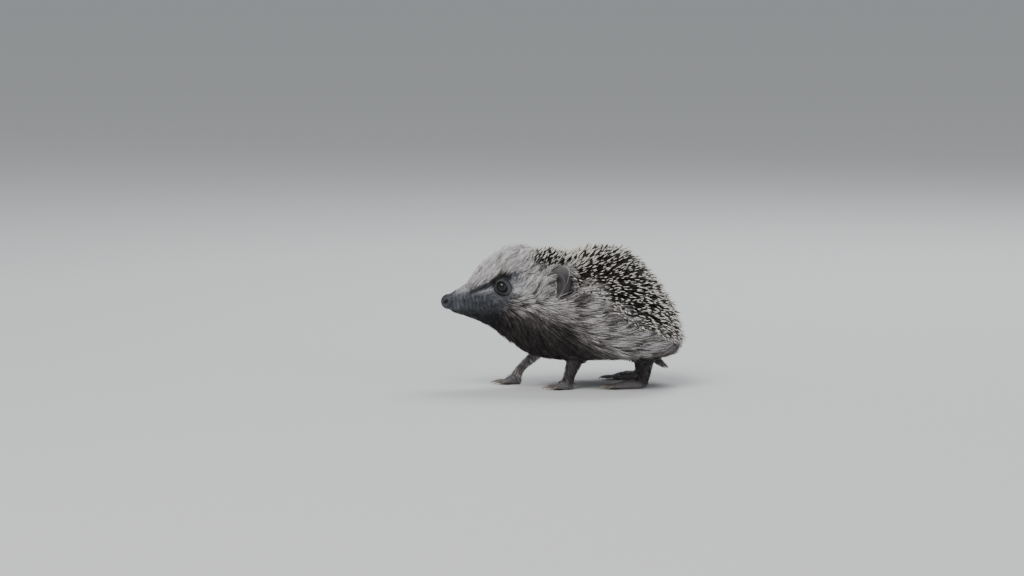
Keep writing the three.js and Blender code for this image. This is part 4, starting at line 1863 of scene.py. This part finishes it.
@dataclass
class Nose:
    """The nose pad, which runs on from the muzzle to a blunt round end.

    Sizes are in millimetres: its slit nostrils, the wing that curls behind and under each one,
    the groove down its front, and how far its sides run back and spread before they end
    inside the skin.
    """

    body: BodyMap
    finish: NoseFinish
    nostril_turn: float = math.radians(66)
    pit: float = 1.5
    wing: float = 0.5
    groove: float = 0.4
    run: float = 3.0
    spread: float = 0.17

    def sleeve(self, ball: Array, half: Array) -> tuple:
        """Draws the rear half of a ball out into a sleeve that follows the muzzle.

        Args:
            ball: points of a ball of radius 1.
            half: the pad's half sizes.

        Returns:
            The pad's points from its middle, the way out at each, and how far back along the
            side each one lies from the front.
        """
        behind = np.degrees(np.arcsin(np.clip(ball[:, 1], 0, 1)))
        back = np.clip(behind / 60, 0, 1)
        flat = np.hypot(ball[:, 0], ball[:, 2])
        wide = (1 + self.spread * back) * np.clip((90 - behind) / 30, 0, 1)
        grow = np.where(behind > 0, wide / np.maximum(flat, 1e-6), 1.0)
        points = ball * half * np.stack([grow, np.ones(len(ball)), grow], axis=1)
        points[:, 1] = np.where(behind > 0, back * self.run, points[:, 1])
        ways = unit(ball * np.stack([grow, ball[:, 1] < 0, grow], axis=1) + 1e-9)
        turn = np.arctan2(np.abs(ball[:, 0]), -ball[:, 1])
        arc = np.minimum(turn, math.pi / 2) * half[0]
        return points, ways, arc + np.clip(turn - math.pi / 2, 0, 1.05) / 1.05 * self.run

    def relief(self, side: Array, rise: Array, back: Array) -> tuple:
        """Works the nostrils, their wings and the groove into the pad.

        Args:
            side: how far each point is to the left.
            rise: how high it is above the pad's middle.
            back: how far it lies behind the middle of the nostril.

        Returns:
            How far each point sinks, and how much of it is raised wing.
        """
        lengthwise, crosswise = (back + rise) * 0.7, (rise - back) * 0.7
        slit = np.hypot(lengthwise / 1.55, (crosswise - 0.1 * lengthwise**2) / 0.55)
        pit = self.pit * mound(slit, 1.0)
        ring = np.hypot(back - 0.2, rise + 0.1)
        wing = mound(ring - 2.05, 0.5) * smooth(-0.9, 0.5, -crosswise)
        brow = mound(crosswise - 1.5, 0.5) * mound(lengthwise, 1.8)
        groove = self.groove * mound(side, 0.34) * (1 - smooth(-3.2, -1.6, back))
        raised = np.clip(wing + 0.6 * brow, 0, 1)
        return pit + groove - self.wing * raised, raised

    def build(self) -> Object:
        """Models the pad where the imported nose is."""
        low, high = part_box("nose")
        middle, half = np.array((low + high) / 2), np.array((high - low) / 2) / MM
        put_down_all()
        bpy.ops.mesh.primitive_uv_sphere_add(segments=112, ring_count=80, radius=1)
        nose = just_made("nose_pad")
        ball = unit(read_points(nose.data))
        half = half * np.array([0.95, 1.0, 0.95])
        points, ways, arc = self.sleeve(ball, half)
        rise = np.arcsin(np.clip(ball[:, 2], -1, 1)) * half[2]
        sink, wing = self.relief(points[:, 0], rise, arc - self.nostril_turn * half[0])
        points = points - ways * sink[:, None]
        place = np.repeat(self.body.straighten(middle), 3, axis=0)
        turned = self.body.heading(place, np.eye(3))
        write_points(nose.data, middle + points @ turned * MM)
        # ridge: high on the raised wings, low in the nostril pits, where the pad is painted with
        # shade
        keep_value(nose.data, "ridge", np.clip(0.2 + wing * 0.9 - sink * 0.6, 0, 1))
        bpy.ops.object.shade_smooth()
        dress(nose, self.finish.material(), "nose", "nose")
        return nose


# ---- the coat


@dataclass
class Spines:
    """The mantle of spines over the back, from the crown to the rump."""

    comb: Comb
    material: Material
    gap: float = 1.2
    long: float = 14.5
    crown_long: float = 12.5
    edge_long: float = 11.0
    least: float = 6.5
    thick: float = 0.39
    lift: float = 37.0
    crown_lift: float = 58.0

    def spaced(self, points: Array) -> Array:
        """Picks points that stand at least the gap apart.

        Args:
            points: rows of x, y, z in metres, in the order they are tried.

        Returns:
            The numbers of the picked points.
        """
        gap = self.gap * MM
        cells: dict = {}
        picked = []
        for index, (point, cell) in enumerate(zip(points, np.floor(points / gap).astype(int))):
            x, y, z = cell
            near = [
                other
                for i in (x - 1, x, x + 1)
                for j in (y - 1, y, y + 1)
                for k in (z - 1, z, z + 1)
                for other in cells.get((i, j, k), ())
            ]
            if all(sum((point - other) ** 2) >= gap * gap for other in near):
                cells.setdefault((x, y, z), []).append(point)
                picked.append(index)
        return np.array(picked)

    def ways(self, roots: Roots) -> Array:
        """Which way each spine points: back and down the flank, and more upright on the crown."""
        random = self.comb.random
        body, count = self.comb.surface.body, len(roots)
        side, along, _ = roots.places.T
        drop = np.radians(-30 * smooth(6, 26, np.abs(side)) - 46 * smooth(118, 146, along))
        back = np.stack([np.zeros(count), np.cos(drop), np.sin(drop)], axis=1)
        way = body.heading(roots.places, back)
        way = unit(way - roots.normals * dot(way, roots.normals))
        stray = random.normal(0, np.radians(15), (count, 1))
        way = way * np.cos(stray) + np.cross(roots.normals, way) * np.sin(stray)
        crown = 1 - smooth(54, 88, along)
        lift = mix(self.lift, self.crown_lift, crown) + random.normal(0, 8, count)
        lift = np.radians(lift)[:, None]
        return unit(way * np.cos(lift) + roots.normals * np.sin(lift))

    def build(self) -> list:
        """Grows the spines.

        Returns:
            The finished pieces.
        """
        comb, random = self.comb, self.comb.random
        surface = comb.surface
        places = surface.body.straighten(surface.middles)
        on_body = surface.kinds == Kind.BODY
        dense = comb.groom.mantle(places) * on_body * 6.0 / self.gap**2
        roots = surface.scatter(dense, random)
        order = random.permutation(len(roots))
        roots = roots.only(order)
        roots = roots.only(self.spaced(roots.points))
        way = self.ways(roots)
        crown = 1 - smooth(48, 70, roots.places[:, 1])
        depth = comb.groom.depth(roots.places)
        edge = roots.places[:, 2] - comb.groom.read(comb.groom.mantle_edge, roots.places[:, 1])
        _, along, high = roots.places.T
        front = (1 - smooth(4, 15, edge)) * (1 - smooth(80, 98, along))
        # painted highlight: the spines on the shoulders get longer pale tips where the light
        # catches them
        shoulder_highlight = mound(np.hypot((along - 75) / 1.6, high - 71), 5.0)
        lengths = mix(mix(self.long, self.crown_long, crown), self.edge_long, front)
        lengths = lengths * (1 + 0.3 * mound(along - 60, 12) * smooth(60, 68, high))
        shorter = depth / comb.groom.mantle_depth
        lengths = (lengths + random.normal(0, 0.8, len(roots))) * shorter
        lengths = np.maximum(lengths, self.least)
        shape = StrandShape("spine", 5, (0.36, 0.74, 0.93), (0.7, 1.0, 0.95, 0.5))
        share = shape.heights[None, :, None]
        run = (lengths * MM)[:, None, None] * share
        ups = np.repeat(roots.normals[:, None, :], len(shape.heights), axis=1)
        curves = roots.points[:, None] - ups * 0.6 * MM + way[:, None] * run
        curves = curves - ups * (run * share * 0.05)
        radii = self.thick * MM * random.uniform(0.82, 1.12, len(roots))
        pick = random.random(len(roots))
        # longer pale tips on the crown's spines, plus the shoulders' painted highlight
        pale = 0.16 * (1 - smooth(46, 58, along)) + 0.22 * shoulder_highlight
        left = roots.places[:, 0] >= 0
        pieces = []
        for name, chosen in (("spines_left", left), ("spines_right", ~left)):
            some = roots.only(chosen)
            piece = shape.weave(name, curves[chosen], ups[chosen], radii[chosen], 1.0, some)
            keep_value(piece.data, "pick", shape.each(pick[chosen]))
            keep_value(piece.data, "tip", shape.each(pale[chosen]))
            dress(piece, self.material, "spines")
            log.info("%s: %d spines", name, len(some))
            pieces.append(piece)
        return pieces


@dataclass
class HairCoat:
    """The hair of the head, flanks and underside, and the short fur of face, legs and ears."""

    comb: Comb
    paws: list
    hair: Material
    fur: Material
    thick: float = 0.22
    thin: float = 0.09
    dense: float = 2.5
    face_dense: float = 4.6
    face_from: float = 6.0
    paw_from: float = 2.2
    share: float = 1.0

    def density(self, places: Array, kinds: Array) -> Array:
        """How many strands grow on a square millimetre."""
        groom = self.comb.groom
        dense = self.dense * (1 - groom.mantle(places))
        dense = mix(dense, self.dense * 1.6, groom.forehead(places) * (1 - groom.mantle(places)))
        dense = mix(dense, self.dense * 0.3, groom.under(places) * smooth(60, 90, places[:, 1]))
        dense = mix(dense, self.face_dense, groom.face(places))
        dense = np.where(places[:, 1] < self.face_from, 0.0, dense)
        for kind, coat in SHORT_COATS.items():
            dense = np.where(kinds == kind, coat.dense, dense)
        sole = (kinds == Kind.PAW) & (places[:, 2] <= self.paw_from)
        return np.where(sole, 0.0, dense) * self.share

    def lengths(self, roots: Roots) -> Array:
        """How long each strand is, in millimetres."""
        groom = self.comb.groom
        length = groom.length(roots.places)
        ways = groom.lie(roots.places)
        length = np.minimum(length, groom.before_ear(roots.places, ways))
        for kind, coat in SHORT_COATS.items():
            length = np.where(roots.of(kind), coat.long, length)
        for eye in self.comb.eyes:
            near = eye.away(roots.points) / MM
            length = mix(0.9, length, smooth(4.0, 8.5, near))
        return length * self.comb.random.uniform(0.72, 1.1, len(roots))

    def bald(self, roots: Roots) -> Array:
        """True where nothing grows: lids, toes, soles, and the fronts and rims of the ears."""
        on_paw = roots.of(Kind.PAW)
        bald = on_paw & (roots.normals[:, 2] < 0.15)
        x, y, _ = roots.points.T / MM
        for paw in self.paws:
            ahead = paw.middle - y
            toes = (ahead > paw.length * 0.3) & (ahead < paw.length / 2 + 12)
            bald |= on_paw & toes & (np.abs(x - paw.side) < 9)
        for side in Side:
            inside = roots.normals @ Ear(side, self.comb.surface.body).facing > -0.3
            bald |= roots.of(Kind.EAR) & inside & (x * side > 0)
        bald |= self.comb.groom.in_ear(roots.places) > 0.5
        for eye in self.comb.eyes:
            near = eye.away(roots.points) < 6 * MM
            bald |= near & (eye.opening(roots.points) < 1.34)
        return bald

    def tones(self, roots: Roots, locks: Array) -> Array:
        """How pale each strand is: its place's tone, its lock's and its own."""
        random = self.comb.random
        tone = self.comb.groom.tone(roots.places)
        far_fore = (roots.points[:, 0] < 0) & (roots.points[:, 1] < 0)
        tone = np.where(roots.of(Kind.LEG, Kind.PAW), np.where(far_fore, 0.6, 0.18), tone)
        tone = np.where(roots.of(Kind.TAIL), 0.38, tone)
        tone = np.where(roots.of(Kind.EAR), 0.62, tone)
        # painted shade: the hair over the groove round each eye's lids is darkened
        for eye in self.comb.eyes:
            near = eye.away(roots.points) < 8 * MM
            tone = mix(tone, 0.02, near * mound(eye.opening(roots.points) - 1.56, 0.22))
        swing = np.interp(tone, [0.0, 0.3, 0.6, 1.0], [0.05, 0.16, 0.42, 0.36])
        tone = tone + swing * (0.8 - 1.9 * random.random(locks.max() + 1) ** 2)[locks]
        tone = tone + swing * 0.7 * random.uniform(-1, 1, len(roots))
        return np.clip(tone, 0.0, 1.0)

    def piece(
        self, name: str, roots: Roots, steps: int, every: int, hold: float, wave: float,
        material: Material, slot: str, lift: float | Array = 1.0,
        spring: float = 0.8,
    ) -> Object:
        """Lays one piece of the coat.

        Args:
            name: the piece's name.
            roots: its strands' roots.
            steps: how many steps each strand takes over the skin.
            every: how many strands make a lock.
            hold: how tightly locks keep together.
            wave: how far locks wave from side to side, in millimetres.
            material: its finish.
            slot: the record's material slot.
            lift: how far the tips stand out against the coat's usual depth, for all or each.
            spring: how late strands rise, as in Comb.lay.

        Returns:
            The finished piece.
        """
        comb, random = self.comb, self.comb.random
        lengths = self.lengths(roots)
        rises = lift * (1.08 - 0.75 * random.random(len(roots)) ** 1.6)
        curves, ups = comb.lay(roots, lengths, rises, steps, math.radians(5), spring)
        curves, locks = comb.lock(roots, curves, every, hold)
        curves = comb.wave(curves, ups, locks, wave)
        curves[:, :, 2] = np.maximum(curves[:, :, 2], 0.15 * MM)
        rings = tuple(np.arange(1, steps) / steps)
        widths = tuple(1 - 0.62 * (np.arange(steps) / steps) ** 2)
        shape = StrandShape(f"{name}_strand", 3, rings, widths)
        radii = np.interp(lengths, [0.8, 3.0, 9.0, 15.0], [self.thin, 0.13, 0.20, self.thick])
        radii = radii * random.uniform(0.7, 1.2, len(roots)) * MM / math.sqrt(self.share)
        woven = shape.weave(name, curves, ups, radii, 0.7, roots)
        keep_value(woven.data, "tone", shape.each(self.tones(roots, locks)))
        keep_value(woven.data, "pick", shape.each(random.random(len(roots))))
        dress(woven, material, slot)
        log.info("%s: %d strands", name, len(roots))
        return woven

    def build(self) -> list:
        """Grows the whole coat but the spines.

        Returns:
            The finished pieces.
        """
        comb = self.comb
        surface = comb.surface
        places = surface.body.straighten(surface.middles)
        roots = surface.scatter(self.density(places, surface.kinds), comb.random)
        roots = roots.only(comb.random.permutation(len(roots)))
        roots = roots.only(~self.bald(roots))
        groom = comb.groom
        side, along, _ = roots.places.T
        body, ear = roots.of(Kind.BODY), roots.of(Kind.EAR)
        limb = roots.of(Kind.LEG, Kind.TAIL, Kind.PAW)
        brow = body & (groom.forehead(roots.places) > 0.5)
        face = body & ~brow & (groom.face(roots.places) > 0.5)
        rest = body & ~brow & ~face
        under = rest & (groom.under(roots.places) > 0.5)
        flank = rest & ~under
        fore, left = along < 78, side >= 0
        long_hair = {
            "cheek_hair_left": flank & fore & left, "cheek_hair_right": flank & fore & ~left,
            "flank_hair_left": flank & ~fore & left, "flank_hair_right": flank & ~fore & ~left,
            "throat_hair": under & fore, "belly_hair": under & ~fore,
        }
        pieces = [
            self.piece(name, roots.only(chosen), 5, 6, 0.66, 0.18, self.hair, "fur")
            for name, chosen in long_hair.items()
        ]
        brow_hair = roots.only(brow)
        _, along, high = brow_hair.places.T
        lift = mix(1.5, 1.0, smooth(42, 50, along))
        lift = mix(0.8, lift, smooth(0.5, 6.0, high - groom.brow_line(along)))
        pieces.append(
            self.piece("forehead_hair", brow_hair, 5, 7, 0.7, 0.15, self.hair, "fur", lift, 0.5)
        )
        pieces.append(self.piece("face_fur", roots.only(face), 2, 4, 0.3, 0.1, self.fur, "muzzle"))
        pieces.append(self.piece("leg_fur", roots.only(limb), 3, 4, 0.4, 0.15, self.hair, "leg"))
        pieces.append(self.piece("ear_fur", roots.only(ear), 2, 3, 0.2, 0.05, self.fur, "ear"))
        return pieces


@dataclass
class Whiskers:
    """Long thin whiskers from the sides of the upper lip."""

    comb: Comb
    material: Material
    each_side: int = 14
    thick: float = 0.085

    def build(self) -> Object:
        """Grows the whiskers.

        Returns:
            The finished piece.
        """
        comb, random = self.comb, self.comb.random
        surface = comb.surface
        side, along, high = surface.body.straighten(surface.middles).T
        lip = (along > 9) & (along < 23) & (high > 46.8) & (high < 52.5) & (np.abs(side) > 2.5)
        roots = surface.scatter(lip * 2.0, random)
        roots = roots.only(random.permutation(len(roots)))
        kept = []
        for out in Side:
            mine = np.flatnonzero(roots.places[:, 0] * out > 0)
            kept += mine[: self.each_side].tolist()
        roots = roots.only(np.array(kept))
        count = len(roots)
        lengths = random.uniform(9, 22, count)
        out = np.sign(roots.places[:, 0])
        ways = np.stack([out * 0.75, random.uniform(0.3, 1.0, count),
                         random.uniform(-0.35, 0.15, count)], axis=1)
        ways = unit(surface.body.heading(roots.places, unit(ways)) + roots.normals * 0.5)
        shape = StrandShape("whisker", 3, (0.25, 0.5, 0.75), (1.0, 0.85, 0.65, 0.42))
        share = shape.heights[None, :, None]
        run = (lengths * MM)[:, None, None] * share
        curves = roots.points[:, None] + ways[:, None] * run
        curves = curves - np.array([0.0, -0.25, 1.0]) * run * share * 0.22
        ups = np.repeat(roots.normals[:, None, :], len(shape.heights), axis=1)
        radii = np.full(count, self.thick * MM)
        whiskers = shape.weave("whiskers", curves, ups, radii, 1.0, roots)
        keep_value(whiskers.data, "tone", shape.each(random.uniform(0.05, 0.3, count)))
        keep_value(whiskers.data, "pick", shape.each(random.random(count)))
        dress(whiskers, self.material, "muzzle")
        return whiskers


# ---- studio


@dataclass
class Studio:
    """A pale floor, soft lights, and the camera low at the animal's left."""

    azimuth: float = math.radians(75)
    elevation: float = math.radians(5)
    away: float = 2.4
    sensor: float = 36.0
    wide: float = 0.6144
    aside: float = -0.0314
    above: float = 0.0164
    floor_side: float = 80.0

    def floor(self) -> Object:
        """Lays the floor."""
        put_down_all()
        bpy.ops.mesh.primitive_plane_add(size=self.floor_side, location=(0, 0, 0))
        floor = just_made("floor")
        floor.data.materials.append(FloorFinish().material())
        return floor

    def light(self, name: str, place: tuple, size: float, power: float, tint: tuple) -> None:
        """Hangs one square light that faces the animal.

        Args:
            name: its name.
            place: where it hangs, in metres.
            size: its side, in metres.
            power: its power, in watts.
            tint: its colour.
        """
        put_down_all()
        bpy.ops.object.light_add(type="AREA", location=place)
        lamp = bpy.context.object
        lamp.name = name
        lamp.data.size = size
        lamp.data.energy = power
        lamp.data.color = tint
        aim = Vector((0, 0, 0.04)) - Vector(place)
        lamp.rotation_euler = aim.to_track_quat("-Z", "Y").to_euler()

    def camera(self) -> Object:
        """Stands the camera where it looks along its own azimuth and elevation."""
        sin_a, cos_a = math.sin(self.azimuth), math.cos(self.azimuth)
        sin_e, cos_e = math.sin(self.elevation), math.cos(self.elevation)
        back = Vector((sin_a * cos_e, -cos_a * cos_e, sin_e))
        right = Vector((cos_a, sin_a, 0))
        up = back.cross(right)
        low, high = CAD_BOUNDS
        middle = Vector((0, 0, (low.z + high.z) / 2))
        aim = middle + right * self.aside + up * self.above
        put_down_all()
        bpy.ops.object.camera_add(location=aim + back * self.away)
        camera = bpy.context.object
        camera.rotation_euler = (-back).to_track_quat("-Z", "Y").to_euler()
        camera.data.sensor_width = self.sensor
        camera.data.lens = self.sensor * self.away / self.wide
        camera.data.clip_end = 50
        bpy.context.scene.camera = camera
        return camera

    def build(self) -> None:
        """Sets the studio up."""
        self.floor()
        self.light("key", (1.0, -0.9, 1.8), 1.3, 36.0, (1.0, 0.99, 0.975))
        self.light("fill", (1.6, 1.1, 0.7), 1.2, 5.0, (0.93, 0.97, 1.0))
        self.light("rim", (-0.9, 0.7, 1.3), 0.8, 16.0, (0.95, 0.98, 1.0))
        world = bpy.data.worlds.new("studio_air")
        world.use_nodes = True
        air = world.node_tree.nodes["Background"]
        air.inputs["Color"].default_value = (0.86, 0.9, 0.95, 1)
        air.inputs["Strength"].default_value = 0.5
        bpy.context.scene.world = world
        self.camera()


HAIR_STOPS = (
    (0.0, rgb(0.014, 0.012, 0.012)),
    (0.22, rgb(0.065, 0.057, 0.055)),
    (0.5, rgb(0.235, 0.212, 0.203)),
    (0.78, rgb(0.54, 0.505, 0.49)),
    (1.0, rgb(0.90, 0.87, 0.87)),
)
FACE_STOPS = (
    (0.0, rgb(0.012, 0.012, 0.014)),
    (0.22, rgb(0.062, 0.066, 0.078)),
    (0.5, rgb(0.20, 0.205, 0.225)),
    (0.78, rgb(0.48, 0.47, 0.48)),
    (1.0, rgb(0.82, 0.80, 0.83)),
)


def main() -> None:
    """Builds the hedgehog and its studio."""
    logging.basicConfig(level=logging.INFO, format="%(name)s %(message)s", stream=sys.stdout)
    body = BodyMap()
    groom = Groom(body)
    eyes = [EyePlace(side, body) for side in Side]
    paws = all_paws(body)
    shade, grain = strand_shade_group(), grain_group()
    finish = SkinFinish("skin", grain, HAIR_STOPS, FACE_STOPS)
    _, surface = Skin(body, groom, eyes, paws, finish).build()
    ball = EyeFinish().material()
    for eye in eyes:
        Eyeball(eye, ball).build()
    Nose(body, NoseFinish("nose_pad", grain)).build()
    Claws(paws, ClawFinish("claw", grain)).build()
    comb = Comb(surface, groom, eyes, np.random.default_rng(7))
    Spines(comb, SpineFinish().material()).build()
    hair = HairFinish("long_hair", shade, HAIR_STOPS).material()
    fur = HairFinish("short_fur", shade, FACE_STOPS, rough=0.55).material()
    HairCoat(comb, paws, hair, fur, share=1.0).build()
    Whiskers(comb, fur).build()
    Studio().build()


if __name__ == "__main__":
    main()
